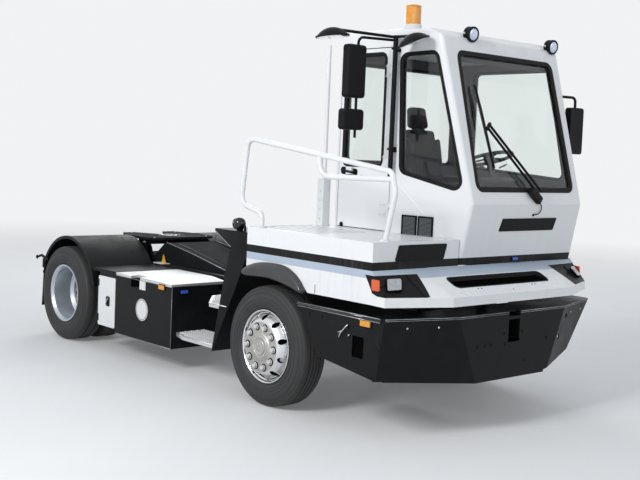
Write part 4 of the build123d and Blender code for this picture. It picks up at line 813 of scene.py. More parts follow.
def half_section(driven):
    """Half of a tyre's outline from its middle outwards: (radius, offset) points."""
    grooves = ((0.000, 0.0045), (0.040, 0.0055)) if driven else ((0.016, 0.0045), (0.052, 0.0045))
    crown = []
    for at, half in grooves:
        for offset, drop in ((at - half, 0.0), (at - half * 0.6, 0.012), (at + half * 0.6, 0.012), (at + half, 0.0)):
            if offset >= 0:
                crown.append((TYRE_R - 0.6 * offset * offset - drop, offset))
    wall = [(0.4895, 0.082), (0.4860, 0.096), (0.4780, 0.109), (0.4670, 0.1155), (0.4655, 0.1195), (0.4610, 0.1208),
            (0.4590, 0.1182), (0.4400, 0.1268), (0.4385, 0.1300), (0.4345, 0.1312), (0.4325, 0.1288), (0.4150, 0.1338),
            (0.3960, 0.1362), (0.3945, 0.1394), (0.3880, 0.1398), (0.3860, 0.1366), (0.3640, 0.1350), (0.3625, 0.1380),
            (0.3575, 0.1376), (0.3555, 0.1338), (0.3440, 0.1305), (0.3420, 0.1330), (0.3370, 0.1322), (0.3340, 0.1285),
            (0.3190, 0.1218), (0.3080, 0.1130), (0.3010, 0.1030), (0.2985, 0.0960), (0.2805, 0.0955)]
    start = [] if driven else [(TYRE_R, 0.0)]
    if driven:
        crown = [(TYRE_R - 0.012, 0.0)] + crown[2:]
    return start + crown + wall


class TRACTOR_OT_tyres(bpy.types.Operator):
    """Tyres with ribs, shoulder blocks and fine cuts, ridged on their walls"""
    bl_idname = "tractor.tyres"
    bl_label = "Tyres"

    def execute(self, context):
        sizes = context.scene.tractor_sizes
        for name, body, x, side, places in WHEELS:
            driven = len(places) == 2
            half = half_section(driven)
            outline = [(r, -z) for r, z in reversed(half)] + [(r, z) for r, z in half[1 if not driven else 1:]]
            tyre = Piece(f"tyres_{name}", body)
            for y in places:
                tyre.turned(outline, "rubber", wheel_frame(x, side * y, side), steps=120, closed=True)
            mesh = tyre.mesh()
            block = Piece("block")
            depth = sizes.tread_depth
            jobs = [(mesh, "rubber")]
            rows = ((0.0895, 0.022, 0.0115), (-0.0895, 0.022, 0.0115)) if driven else ((0.1035, 0.006, 0.0060), (-0.1035, 0.006, 0.0060))
            for y in places:
                for offset, wide, long in rows:
                    block = Piece("block")
                    lean = 0.006 if offset > 0 else -0.006
                    low = depth if driven else depth * 0.5
                    base = Vector((-low - 0.010, 0, 0))
                    outer = [base + Vector((0, -long, -wide / 2 - 0)), base + Vector((0, long, -wide / 2)),
                             base + Vector((0, long + lean, wide / 2)), base + Vector((0, -long + lean, wide / 2))]
                    block.plate(outer, (low + 0.009, 0, 0), "rubber", 0.0012)
                    radius = TYRE_R - 0.6 * offset * offset - (0.001 if driven else 0.004)
                    place = wheel_frame(x, side * y, side) @ Matrix.Translation((0, 0, offset))
                    jobs.append((repeated(block, "rubber", count=sizes.tread_blocks, radius=radius, place=place), "rubber"))
                marks = Piece("mark")
                marks.block((-0.006, -0.0011, -0.001), (0.006, 0.0011, 0.0012), "rubber", 0.0004)
                place = wheel_frame(x, side * y, side) @ Matrix.Translation((0, 0, 0.1308))
                jobs.append((repeated(marks, "rubber", count=150, radius=0.4240, place=place), "rubber"))
            made = spread(f"tyres_{name}", body, jobs)
            made.data.polygons.foreach_set("use_smooth", [True] * len(made.data.polygons))
            made.data.set_sharp_from_angle(angle=math.radians(32))
            parts = name.split("_")
            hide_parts(f"{parts[0]}_tyre{'s' if driven else ''}_{parts[1]}")
        return {"FINISHED"}


RIM_HALF = 0.1175
DISC_OUT = 0.045


class TRACTOR_OT_wheel_fittings(bpy.types.Operator):
    """Wheel nuts on their washers, hub caps, bolt rings and valves"""
    bl_idname = "tractor.wheel_fittings"
    bl_label = "Wheel nuts and hubs"

    def execute(self, context):
        for name, body, x, side, places in WHEELS:
            driven = len(places) == 2
            if driven:
                middle = sum(places) / 2
                face, nut_at = middle + 0.0705, middle + 0.0105
                pitch, cap = 0.1675, 0.078
            else:
                face, nut_at = places[0] + RIM_HALF + DISC_OUT + 0.0125, places[0] + RIM_HALF + DISC_OUT + 0.0005
                pitch, cap = 0.1675, 0.066
            hub = wheel_frame(x, side * face, side)
            flat = wheel_frame(x, side * nut_at, side) @ Matrix.Rotation(math.radians(18.0), 4, "Z")
            nut = Piece("nut")
            nut.turned([(0.0, 0.0), (0.0240, 0.0), (0.0240, 0.005), (0.0220, 0.0075), (0.0, 0.0075)], "bright", steps=24, smooth=False)
            nut.turned([(0.0, 0.004), (0.0205, 0.004), (0.0205, 0.024), (0.0180, 0.0295), (0.012, 0.0315), (0.0, 0.0315)], "bright",
                       steps=12, smooth=False)
            ring = repeated(nut, "chrome", count=10, radius=pitch, place=flat)
            # A flat painted-shade disc under each nut stands for the nut's shadow on the rim.
            shade = Piece("shade")
            shade.turned([(0.0, 0.0), (0.0325, 0.0), (0.0320, 0.0012), (0.0, 0.0012)], "painted_shade", steps=20, smooth=False)
            shades = repeated(shade, "painted_shade", count=10, radius=pitch, place=flat)
            bolt = hex_bolt(0.013, 0.006, 0.009)
            bolts = repeated(bolt, "bright", count=12 if driven else 8, radius=cap + 0.016, place=hub)
            jobs = [(ring, "chrome"), (shades, "painted_shade"), (bolts, "bright")]
            disc = Piece("disc")
            disc.turned([(cap, -0.004), (cap, 0.003), (cap - 0.004, 0.006), (cap - 0.012, 0.006), (cap - 0.015, 0.0042),
                         (0.030, 0.0042), (0.028, 0.0056), (0.012, 0.0056), (0.010, 0.0040), (0.0, 0.0040)],
                        "rear_rim" if driven else "disc", hub)
            disc.turned([(cap + 0.028, -0.012), (cap + 0.030, -0.012), (cap + 0.030, 0.0012), (cap + 0.026, 0.003), (cap + 0.005, 0.003),
                         (cap + 0.002, 0.0012), (cap + 0.002, -0.012)], "rear_rim" if driven else "rim", hub, closed=True)
            jobs.append((disc.mesh(), "rear_rim" if driven else "disc"))
            valve = Piece("valve")
            reach = 0.0 if driven else 0.038
            valve.tube(rounded_path([(0.205 + reach, 0.0, -0.05 - reach), (0.222 + reach, 0.0, -0.01 - reach),
                                     (0.214 + reach, 0.0, 0.012 - reach)], 0.01), 0.0042, "bright", 8)
            valve.bm.transform(flat)
            jobs.append((valve.mesh(), "bright"))
            spread(f"wheel_fittings_{name}", body, jobs)
        return {"FINISHED"}


HAND_HOLE_AT = 0.240
DISC_R = 0.2045


class TRACTOR_OT_front_rims(bpy.types.Operator):
    """Polished front rims with a machined disc, ten hand holes and rounded flanges"""
    bl_idname = "tractor.front_rims"
    bl_label = "Front rims"

    def execute(self, context):
        half, wall = 0.1175, 0.014
        barrel = [(RIM_R, half - 0.001), (RIM_R - 0.001, half), (RIM_R - 0.006, half + 0.0005), (RIM_R - 0.012, half - 0.004),
                  (RIM_R - 0.016, half - 0.020), (RIM_R - 0.030, half - 0.030), (RIM_R - 0.0315, half - 0.074), (RIM_R - 0.033, 0.0),
                  (RIM_R - 0.033, -half + 0.026), (RIM_R - wall, -half), (RIM_R, -half), (RIM_R, -half + 0.014),
                  (RIM_R - 0.0185, -half + 0.018), (RIM_R - 0.0185, half - 0.018), (RIM_R, half - 0.014)]
        out = half + DISC_OUT
        disc = [(0.2740, half - 0.078), (0.2680, half - 0.050), (0.2620, half - 0.028), (0.2540, half - 0.007),
                (0.2440, half + 0.011), (0.2320, half + 0.026), (0.2180, half + 0.0385), (0.2080, half + 0.0440), (0.2040, out),
                (0.1240, out), (0.1180, out + 0.001), (0.1120, out + 0.007), (0.1060, out + 0.0100), (0.0960, out + 0.0115),
                (0.0, out + 0.0120), (0.0, half - 0.004), (0.1150, half - 0.004), (0.1300, half + 0.020),
                (0.1900, half + 0.027), (0.2040, half + 0.022), (0.2260, half + 0.001), (0.2440, half - 0.026),
                (0.2540, half - 0.054), (0.2580, half - 0.092), (0.2740, half - 0.100)]
        for name, body, x, side, places in WHEELS[:2]:
            place = wheel_frame(x, side * places[0], side)
            rim = Piece("rim_disc", body)
            rim.turned(disc, "rim", Matrix.Rotation(math.radians(18.0), 4, "Z"), steps=96, closed=True)
            plain = bpy.data.objects.new("rim_disc", rim.mesh())
            tool = Piece("rim_cutters", body)
            for i in range(10):
                angle = 2 * math.pi * i / 10
                tool.drum(0.0225, half - 0.14, half + 0.09, "rim", Matrix.Translation((HAND_HOLE_AT * math.cos(angle), HAND_HOLE_AT * math.sin(angle), 0)), 20,
                          0.001)
            cutter = bpy.data.objects.new("rim_cutters", tool.mesh())
            for thing in (plain, cutter):
                context.scene.collection.objects.link(thing)
            cut = plain.modifiers.new("holes", "BOOLEAN")
            cut.operation = "DIFFERENCE"
            cut.solver = "EXACT"
            cut.object = cutter
            context.view_layer.update()
            graph = context.evaluated_depsgraph_get()
            mesh = bpy.data.meshes.new_from_object(plain.evaluated_get(graph), depsgraph=graph)
            for thing in (plain, cutter):
                bpy.data.objects.remove(thing)
            whole = Piece("barrel", body)
            whole.turned(barrel, "rim", steps=96, closed=True)
            jobs = [(mesh, "rim"), (whole.mesh(), "rim")]
            made = spread(f"rim_{name}", body, jobs)
            made.data.materials.append(MATS["disc"])
            made.data.materials.append(MATS["painted_shade"])
            # Deep barrel faces, back faces and the hand holes' walls are painted shade; the middle of the disc gets the
            # machined finish.
            holes = [(HAND_HOLE_AT * math.cos(math.pi * i / 5), HAND_HOLE_AT * math.sin(math.pi * i / 5)) for i in range(10)]
            for polygon in made.data.polygons:
                middle = polygon.center
                walled = abs(polygon.normal.z) < 0.2 and min(math.hypot(middle.x - x, middle.y - y) for x, y in holes) < 0.0235
                if middle.z < 0.035 or polygon.normal.z < -0.3 or walled:
                    polygon.material_index = 2
                elif math.hypot(middle.x, middle.y) < DISC_R:
                    polygon.material_index = 1
            made.data.transform(place)
            made.data.polygons.foreach_set("use_smooth", [True] * len(made.data.polygons))
            made.data.set_sharp_from_angle(angle=math.radians(28))
            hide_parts(f"front_rim_{name.split('_')[1]}")
        return {"FINISHED"}


# Cab windows and lining
SCREEN_SLOPE = (0.935 - 1.285) / (3.04 - 1.72)
QUARTER_SLOPE = (-0.25 + 0.37) / (1.285 - 0.52)


def screen_point(y, z, depth=0.0):
    return Vector((1.285 + SCREEN_SLOPE * (z - 1.72) - depth * 1.035, y, z))


def quarter_point(x, z, depth=0.0):
    return Vector((x, -0.370 + QUARTER_SLOPE * (x - 0.520) + depth * 1.012, z))


def door_point(x, z, depth=0.0):
    return Vector((x, -0.370 + depth, z))


def left_point(x, z, depth=0.0):
    return Vector((x, 1.200 - depth, z))


def rear_point(y, z, depth=0.0):
    return Vector((-0.170 + depth, y, z))


def apron_point(y, z, depth=0.0):
    """A point on the cab's lower front face."""
    return Vector((1.190 + (1.285 - 1.190) / (1.72 - 1.24) * (z - 1.24) - depth * 1.02, y, z))


WINDOWS = (
    ("windscreen", "chassis", screen_point, 0.065, 0.030, ((-0.166, 1.826), (1.094, 1.826), (1.075, 2.922), (-0.150, 2.922))),
    ("quarter", "chassis", quarter_point, 0.065, 0.020, ((0.597, 1.941), (1.199, 1.807), (0.901, 2.909), (0.560, 2.895))),
    ("left", "chassis", left_point, 0.065, 0.022, ((0.040, 1.985), (1.120, 1.905), (0.890, 2.880), (0.040, 2.880))),
    ("rear", "chassis", rear_point, 0.065, 0.022, ((-0.270, 2.000), (1.100, 2.000), (1.100, 2.860), (-0.270, 2.860))),
    ("door", "door", door_point, 0.055, 0.022, ((-0.078, 1.975), (0.402, 1.975), (0.402, 2.908), (-0.078, 2.908))),
)


class TRACTOR_OT_window_seals(bpy.types.Operator):
    """Rubber seals round every pane, outside and inside"""
    bl_idname = "tractor.window_seals"
    bl_label = "Window seals"

    def execute(self, context):
        for name, body, point, radius, wide, corners in WINDOWS:
            seal = Piece(f"seal_{name}", body)
            outside = ((0.012, 0.0004), (0.009, -0.0045), (-wide + 0.008, -0.0045), (-wide, 0.003), (-wide, 0.0138),
                       (-0.0006, 0.0138), (-0.0006, 0.0004))
            inside = ((-0.0006, 0.0212), (-wide, 0.0212), (-wide, 0.030), (-wide + 0.008, 0.0495), (0.012, 0.0495),
                      (0.012, 0.0462), (-0.0006, 0.0462))
            for section in (outside, inside):
                loops = []
                for grow, depth in section:
                    loops.append([point(a, b, depth) for a, b in rounded_outline(corners, radius, grow)])
                seal.band(loops, "seal")
            seal.done()
        return {"FINISHED"}


def lining_sheet(piece, point, outline, hole, radius, depth, key, thick=0.004):
    """A flat inner panel with four corners and a window cut in it."""
    loops = []
    for edge, round_by, grow, inward in ((outline, 0.02, 0.0, 0.0), (hole, radius, 0.004, 0.0),
                                         (hole, radius, 0.004, thick), (outline, 0.02, 0.0, thick)):
        loops.append([point(a, b, depth + inward) for a, b in rounded_outline(edge, round_by, grow)])
    piece.band(loops, key)


class TRACTOR_OT_cab_lining(bpy.types.Operator):
    """Moulded lining, headliner, floor mat and sun blind inside the cab"""
    bl_idname = "tractor.cab_lining"
    bl_label = "Cab lining"

    def execute(self, context):
        lining = Piece("cab_lining")
        windows = {name: (point, radius, corners) for name, body, point, radius, wide, corners in WINDOWS}
        point, radius, corners = windows["rear"]
        lining_sheet(lining, point, [(-0.315, 1.30), (1.145, 1.30), (1.145, 2.95), (-0.315, 2.95)], corners, radius, 0.0565, "lining")
        point, radius, corners = windows["left"]
        around = ((-0.105, 1.835), (1.150, 1.835), (0.860, 2.950), (-0.105, 2.950))
        lining_sheet(lining, point, around, corners, radius, 0.0565, "lining")
        below = ((-0.105, 1.300), (1.040, 1.300), (1.145, 1.830), (-0.105, 1.830))
        lining.plate([point(x, z, 0.0565) for x, z in below], (0, -0.004, 0), "lining", 0.001)
        point, radius, corners = windows["quarter"]
        around = ((0.535, 1.775), (1.185, 1.775), (0.880, 2.940), (0.535, 2.940))
        lining_sheet(lining, point, around, corners, radius, 0.0565, "lining")
        below = ((0.535, 1.300), (1.060, 1.300), (1.160, 1.770), (0.535, 1.770))
        lining.plate([point(x, z, 0.0565) for x, z in below], (0, 0.004, 0), "lining", 0.001)
        lining.block((-0.10, -0.30, 3.036), (0.74, 1.14, 3.050), "lining", 0.004)
        mat = [(-0.10, -0.31), (0.50, -0.31), (1.02, -0.22), (1.05, 1.14), (-0.10, 1.14)]
        lining.plate([(x, y, 1.286) for x, y in mat], (0, 0, 0.010), "rubber", 0.003)
        lining.block((0.860, -0.09, 2.86), (0.886, 1.06, 2.925), "lining", 0.006)
        lining.tube([(0.882, -0.09, 2.858), (0.882, 1.06, 2.858)], 0.007, "trim")
        lining.done()
        ribs = [(-0.06 + 0.04 * i, 0.415, 1.296) for i in range(28)]
        rib = Piece("rib")
        rib.block((-0.006, -0.70, 0.0), (0.006, 0.70, 0.003), "rubber", 0.001)
        spread("mat_ribs", "chassis", [(repeated(rib, "rubber", points=ribs[:26]), "rubber")])
        return {"FINISHED"}


class TRACTOR_OT_door_fittings(bpy.types.Operator):
    """Door handle in its recess plate, lock, hinge plates and inner trim"""
    bl_idname = "tractor.door_fittings"
    bl_label = "Door fittings"

    def execute(self, context):
        door = Piece("door_fittings", "door")
        pad = rounded_outline(((-0.090, 1.900), (0.110, 1.885), (0.110, 1.945), (-0.090, 1.962)), 0.018)
        door.plate([(x, -0.3702, z) for x, z in pad], (0, -0.006, 0), "plastic", 0.003)
        grip = [(-0.066, -0.376, 1.936), (-0.060, -0.402, 1.935), (0.080, -0.404, 1.916), (0.088, -0.376, 1.915)]
        door.tube(rounded_path(grip, 0.012), 0.0095, "plastic", 10)
        door.drum(0.019, 0.0, 0.009, "bright", along_axis((0.168, -0.3702, 1.881), (0, -1, 0)))
        door.block((0.166, -0.3805, 1.872), (0.170, -0.3785, 1.890), "plastic", 0.0005)
        for z in (1.560, 1.955, 2.700):
            door.block((0.395, -0.3745, z + 0.008), (0.452, -0.3702, z + 0.118), "plain_paint", 0.002)
            for dx, dz in ((0.012, 0.022), (0.045, 0.022), (0.012, 0.100), (0.045, 0.100)):
                door.drum(0.006, 0.0, 0.004, "bright", along_axis((0.395 + dx, -0.3745, z + dz), (0, -1, 0)), 8, 0.001)
        lining_sheet(door, door_point, [(-0.110, 1.470), (0.485, 1.470), (0.485, 2.935), (-0.110, 2.935)], WINDOWS[4][5], 0.055, 0.0512,
                     "lining")
        door.tube(rounded_path([(0.30, -0.317, 1.90), (0.30, -0.275, 1.90), (0.30, -0.275, 1.64), (0.30, -0.317, 1.64)], 0.02), 0.010, "trim")
        door.done()
        frame_seal = Piece("door_seal")
        outline = ((-0.128, 1.444), (0.503, 1.444), (0.503, 2.958), (-0.128, 2.958))
        loops = []
        for grow, depth in ((-0.0006, 0.018), (-0.0045, 0.020), (-0.0045, 0.034), (-0.0006, 0.036)):
            loops.append([door_point(a, b, depth) for a, b in rounded_outline(outline, 0.002, grow, 2)])
        frame_seal.band(loops, "seal")
        frame_seal.done()
        return {"FINISHED"}


def slanted(point, corners, depth, thick, piece, key, radius=0.006, bevel=0.001):
    """A plate on one of the cab's flat faces, standing proud of it."""
    outline = [point(a, b, -depth) for a, b in rounded_outline(corners, radius)]
    out = (point(0.5, 2.0, -1.0) - point(0.5, 2.0, 0.0)).normalized()
    piece.plate(outline, out * thick, key, bevel)


class TRACTOR_OT_cab_plates(bpy.types.Operator):
    """Louvred vent, bare plates, step lamp and plug on the cab's outside"""
    bl_idname = "tractor.cab_plates"
    bl_label = "Vent and bare plates"

    def execute(self, context):
        plates = Piece("cab_plates")
        slanted(apron_point, ((0.136, 1.500), (0.850, 1.500), (0.872, 1.604), (0.158, 1.604)), 0.0004, 0.005, plates, "plastic", 0.008)
        slanted(apron_point, ((0.146, 1.508), (0.843, 1.508), (0.861, 1.596), (0.166, 1.596)), 0.0056, 0.0012, plates, "seal", 0.006, 0.0004)
        low, high = 1.295, 1.415
        board = [(-0.984, low), (-0.453, low), (-0.415, high), (-0.945, high)]
        plates.plate([(1.1904, y, z) for y, z in rounded_outline(board, 0.012)], (0.005, 0, 0), "plastic", 0.0015)
        board = [(-0.972, low + 0.010), (-0.463, low + 0.010), (-0.429, high - 0.010), (-0.934, high - 0.010)]
        plates.plate([(1.1956, y, z) for y, z in rounded_outline(board, 0.008)], (0.0014, 0, 0), "seal", 0.0005)
        plates.drum(0.021, 0.0, 0.006, "plastic", along_axis((-0.063, -0.3702, 1.466), (0, -1, 0)))
        for x in (0.560, 0.585):
            plates.drum(0.005, 0, 0.004, "bright", along_axis(quarter_point(x, 2.159, 0), (0.155, -0.988, 0)), 8, 0.001)
        crease = [quarter_point(x, z, -0.0004) for x, z in ((0.530, 1.878), (0.556, 1.878), (1.062, 1.419), (1.036, 1.419))]
        plates.plate(crease, Vector((0.155, -0.988, 0)) * 0.0020, "plain_paint", 0.0015)
        plates.done()

        lamp = Piece("stripe_lamp")
        lamp.block((1.1905, 0.375, 1.252), (1.203, 0.455, 1.284), "plastic", 0.003)
        lamp.block((1.2025, 0.382, 1.256), (1.212, 0.448, 1.280), "blue", 0.004)
        lamp.done()

        vent = Piece("vent_frame")
        place = facing(quarter_point(0.790, 1.512, -0.0004), (quarter_point(1, 1) - quarter_point(0, 1)), (0, 0, 1))
        halves = ((-0.152, -0.006), (0.006, 0.152))
        for a, b in halves:
            for low, high in (((a, 0.076, 0), (b, 0.086, 0.012)), ((a, -0.086, 0), (b, -0.076, 0.012)),
                              ((a, -0.086, 0), (a + 0.010, 0.086, 0.012)), ((b - 0.010, -0.086, 0), (b, 0.086, 0.012))):
                vent.block(low, high, "plastic", 0.002, place)
            vent.block((a + 0.004, -0.080, 0.0), (b - 0.004, 0.080, 0.0025), "seal", 0.0005, place)
        vent.done()
        slat = Piece("slat")
        slat.block((-0.058, -0.0012, -0.0048), (0.058, 0.0012, 0.0048), "vent", 0.0005, Matrix.Rotation(math.radians(-40), 4, "X"))
        spots = [((a + b) / 2, -0.066 + 0.0102 * i, 0.0070) for a, b in halves for i in range(14)]
        spread("vent_slats", "chassis", [(repeated(slat, "vent", points=spots, place=place), "vent")])
        return {"FINISHED"}


class TRACTOR_OT_wiper_arm(bpy.types.Operator):
    """Twin-link wiper arm with its motor cover, blade carrier, rubber blade and washer hose"""
    bl_idname = "tractor.wiper_arm"
    bl_label = "Wiper"

    def execute(self, context):
        wiper = Piece("wiper_arm")
        out = Vector((1.0, 0.0, -SCREEN_SLOPE)).normalized()

        def spot(y, z, up):
            return screen_point(y, z) + out * up

        place = facing(spot(0.540, 1.775, 0.012), (0, 0.80, -0.60), (0, 0.6, 0.8))
        wiper.block((-0.10, -0.034, -0.010), (0.055, 0.034, 0.040), "plastic", 0.010, place)
        for dy in (0.0, 0.048):
            start = spot(0.545 + dy, 1.800 + dy * 0.4, 0.040)
            end = spot(0.035 + dy * 0.6, 2.315 + dy * 0.5, 0.036)
            wiper.tube([start, end], 0.0105, "plastic", 8)
        link = [spot(0.070, 2.350, 0.037), spot(0.020, 2.300, 0.037)]
        wiper.tube(link, 0.015, "plastic", 8)
        carrier = [spot(0.060, 2.000, 0.019), spot(0.024, 2.200, 0.030), spot(0.008, 2.325, 0.032), spot(-0.004, 2.450, 0.030),
                   spot(-0.022, 2.650, 0.019)]
        wiper.tube(rounded_path(carrier, 0.05), 0.0085, "plastic", 8)
        wiper.tube([spot(0.062, 1.985, 0.0105), spot(-0.024, 2.665, 0.0105)], 0.0068, "rubber", 6)
        for share in (0.12, 0.35, 0.65, 0.88):
            y, z = 0.062 - 0.086 * share, 1.985 + 0.680 * share
            wiper.tube([spot(y, z, 0.009), spot(y, z, 0.026)], 0.006, "plastic", 6)
        hose = [spot(0.560, 1.735, 0.030), apron_point(0.625, 1.700, -0.012), apron_point(0.620, 1.640, -0.010),
                apron_point(0.545, 1.632, -0.006)]
        wiper.tube(rounded_path(hose, 0.045, 8), 0.0042, "rubber", 8)
        wiper.drum(0.010, 0.0, 0.010, "plastic", along_axis(apron_point(0.540, 1.632, -0.0004), (1, 0, -0.2)), 12)
        wiper.done("wiper")
        return {"FINISHED"}


class TRACTOR_OT_roof_fittings(bpy.types.Operator):
    """Spot lamps with their bezels, the beacon's foot and the roof screws"""
    bl_idname = "tractor.roof_fittings"
    bl_label = "Roof fittings"

    def execute(self, context):
        roof = Piece("roof_fittings")
        ahead = Vector((0.070, 0.0, -0.010)).normalized()
        for y in (0.040, 1.110):
            front = along_axis(Vector((0.960, y, 3.072)) + ahead * 0.0004, ahead)
            bezel = [(0.0605, -0.016), (0.0630, -0.016), (0.0640, 0.004), (0.0600, 0.010), (0.0530, 0.010), (0.0515, 0.004),
                     (0.0515, 0.0002), (0.0605, 0.0002)]
            roof.turned(bezel, "plastic", front, closed=True)
            roof.turned([(0.0, 0.014), (0.020, 0.0134), (0.040, 0.011), (0.0512, 0.0062), (0.0512, 0.0003), (0.0, 0.0003)], "reflector", front)
            fork = [(0.925, y - 0.070, 3.075), (0.925, y - 0.070, 3.030), (0.925, y - 0.030, 3.016), (0.925, y + 0.030, 3.016),
                    (0.925, y + 0.070, 3.030), (0.925, y + 0.070, 3.075)]
            roof.tube(rounded_path(fork, 0.018), 0.006, "plastic", 8)
            for s in (-1, 1):
                roof.drum(0.011, 0, 0.012, "bright", along_axis((0.925, y + s * 0.062, 3.077), (0, s, 0)), 12)
        foot = along_axis((0.553, -0.240, 3.0995), (0, 0, 1))
        roof.turned([(0.0, 0.0), (0.088, 0.0), (0.088, 0.008), (0.0745, 0.014), (0.0725, 0.043), (0.0665, 0.047), (0.0665, 0.042),
                     (0.0, 0.042)], "blank", foot)
        roof.turned([(0.0665, 0.188), (0.0672, 0.188), (0.0672, 0.196), (0.0665, 0.196)], "amber", foot, closed=True)
        roof.done()
        screws = [(x, y, 3.0998) for x in (-0.04, 0.18, 0.40, 0.62) for y in (-0.30, 1.14)]
        spread("roof_screws", "chassis", [(repeated(stud(0.007, 0.004), "plain_paint", points=screws), "plain_paint")])
        return {"FINISHED"}


class TRACTOR_OT_mirror_glasses(bpy.types.Operator):
    """Mirror glasses with their rims, arm clamps and the round mirrors' faces"""
    bl_idname = "tractor.mirror_glasses"
    bl_label = "Mirror glasses"

    def execute(self, context):
        mirrors = Piece("mirror_glasses")
        heads = ((0.470, (-0.920, -0.722), (2.513, 2.929)), (0.470, (-0.945, -0.725), (2.261, 2.426)), (1.000, (1.290, 1.480), (2.150, 2.560)))
        for x, (y0, y1), (z0, z1) in heads:
            corners = ((y0, z0), (y1, z0), (y1, z1), (y0, z1))
            loops = []
            for grow, dx in ((-0.002, -0.0002), (-0.004, -0.006), (-0.012, -0.006), (-0.014, -0.0002)):
                loops.append([(x + dx, y, z) for y, z in rounded_outline(corners, 0.026, grow)])
            mirrors.band(loops, "plastic")
            mirrors.plate([(x - 0.0003, y, z) for y, z in rounded_outline(corners, 0.026, -0.014)], (-0.003, 0, 0), "mirror", 0.001)
        for centre, up in (((0.425, -1.000, 2.974), (-0.07, -0.08, 0.99)), ((0.775, -0.450, 2.965), (-0.26, -0.29, 0.92))):
            place = along_axis(centre, up)
            mirrors.turned([(0.1325, 0.001), (0.1345, 0.004), (0.1345, 0.010), (0.1315, 0.014), (0.1290, 0.0135), (0.1290, 0.001)],
                           "plastic", place, closed=True)
            mirrors.turned([(0.0, -0.0035), (0.060, -0.003), (0.120, -0.001), (0.124, -0.0003), (0.0, -0.0003)], "mirror", place)
        for z in (2.300, 2.360, 2.640, 2.800):
            mirrors.block((0.494, -0.816, z), (0.526, -0.784, z + 0.030), "plastic", 0.004)
        for z in (2.115, 2.925):
            mirrors.block((0.516, -0.439, z), (0.564, -0.391, z + 0.018), "plastic", 0.003)
        mirrors.done()
        return {"FINISHED"}


# Nose, lamps and bumper
NOSE_FOOT_Z, NOSE_HEAD_Z = 1.058, 1.235


def nose_point(side, share, height):
    """A point on the nose's oblique corner face: share 0 at the corner, 1 at the front bend."""
    low = Vector((1.345 + 0.207 * share, side * (1.226 - 0.502 * share), NOSE_FOOT_Z))
    high = Vector((1.190, side * (1.210 - 0.486 * share), NOSE_HEAD_Z))
    t = (height - NOSE_FOOT_Z) / (NOSE_HEAD_Z - NOSE_FOOT_Z)
    return low.lerp(high, t)


def curved_sheet(piece, rows, thick, key):
    """A thin closed sheet through rows of points, pushed back along a vector."""
    part = bmesh.new()
    top = [[part.verts.new(p) for p in row] for row in rows]
    back = [[part.verts.new(Vector(p) - Vector(thick)) for p in row] for row in rows]
    for grid in (top, back):
        for a, b in zip(grid, grid[1:]):
            for i in range(len(a) - 1):
                part.faces.new((a[i], a[i + 1], b[i + 1], b[i]))
    ring = [(0, i) for i in range(len(top[0]))] + [(j, len(top[0]) - 1) for j in range(1, len(top))]
    ring += [(len(top) - 1, i) for i in range(len(top[0]) - 2, -1, -1)] + [(j, 0) for j in range(len(top) - 2, 0, -1)]
    for (j, i), (m, k) in zip(ring, ring[1:] + ring[:1]):
        part.faces.new((top[j][i], top[m][k], back[m][k], back[j][i]))
    piece.add(part, key)


class TRACTOR_OT_front_lamps(bpy.types.Operator):
    """Black lamp surrounds with headlamp and indicator lenses"""
    bl_idname = "tractor.front_lamps"
    bl_label = "Front lamps"

    def execute(self, context):
        lamps = Piece("lamp_lenses")
        out = Vector((0.44, 0.0, 0.90)).normalized()
        for side in (-1, 1):
            rows = []
            for k in range(5):
                z = 1.063 + 0.138 * k / 4
                end = 0.665 + 0.165 * k / 4
                rows.append([nose_point(side, 0.60 + (end - 0.60) * i / 3, z) + out * 0.0028 for i in range(4)])
            curved_sheet(lamps, rows, out * 0.0022, "seal")
            corners = [Vector(p) for p in ((1.270, -1.140, 1.178), (1.311, -1.033, 1.182), (1.360, -1.078, 1.109), (1.323, -1.181, 1.102))]
            corners = [Vector((p.x, p.y * -side, p.z)) for p in corners]
            middle = sum(corners, Vector()) / 4
            across = (corners[1] - corners[0] + corners[2] - corners[3]).normalized()
            down = (corners[3] - corners[0] + corners[2] - corners[1]).normalized()
            face = across.cross(down).normalized()
            if face.z < 0:
                face = -face
            place = facing(middle + face * 0.006, across, face.cross(across))
            flat = [place.inverted() @ p for p in corners]
            outline = rounded_outline([(p.x, p.y) for p in flat], 0.010, -0.001)
            frame_line = rounded_outline([(p.x, p.y) for p in flat], 0.010, 0.007)
            # The frame round each headlamp lens is painted shade, for the dark gap behind the lens.
            lamps.plate([place @ Vector((a, b, -0.006)) for a, b in frame_line], face * 0.0064, "painted_shade", 0.001)
            lamps.plate([place @ Vector((a, b, 0.0)) for a, b in outline], face * 0.006, "clear", 0.003)
            y = side * 1.2185
            outline = ((1.204, 1.180), (1.280, 1.180), (1.289, 1.100), (1.212, 1.100))
            lamps.plate([(x, y, z) for x, z in rounded_outline(outline, 0.010)], (0.0, side * 0.011, 0.0), "indicator", 0.004)
        lamps.done()
        return {"FINISHED"}


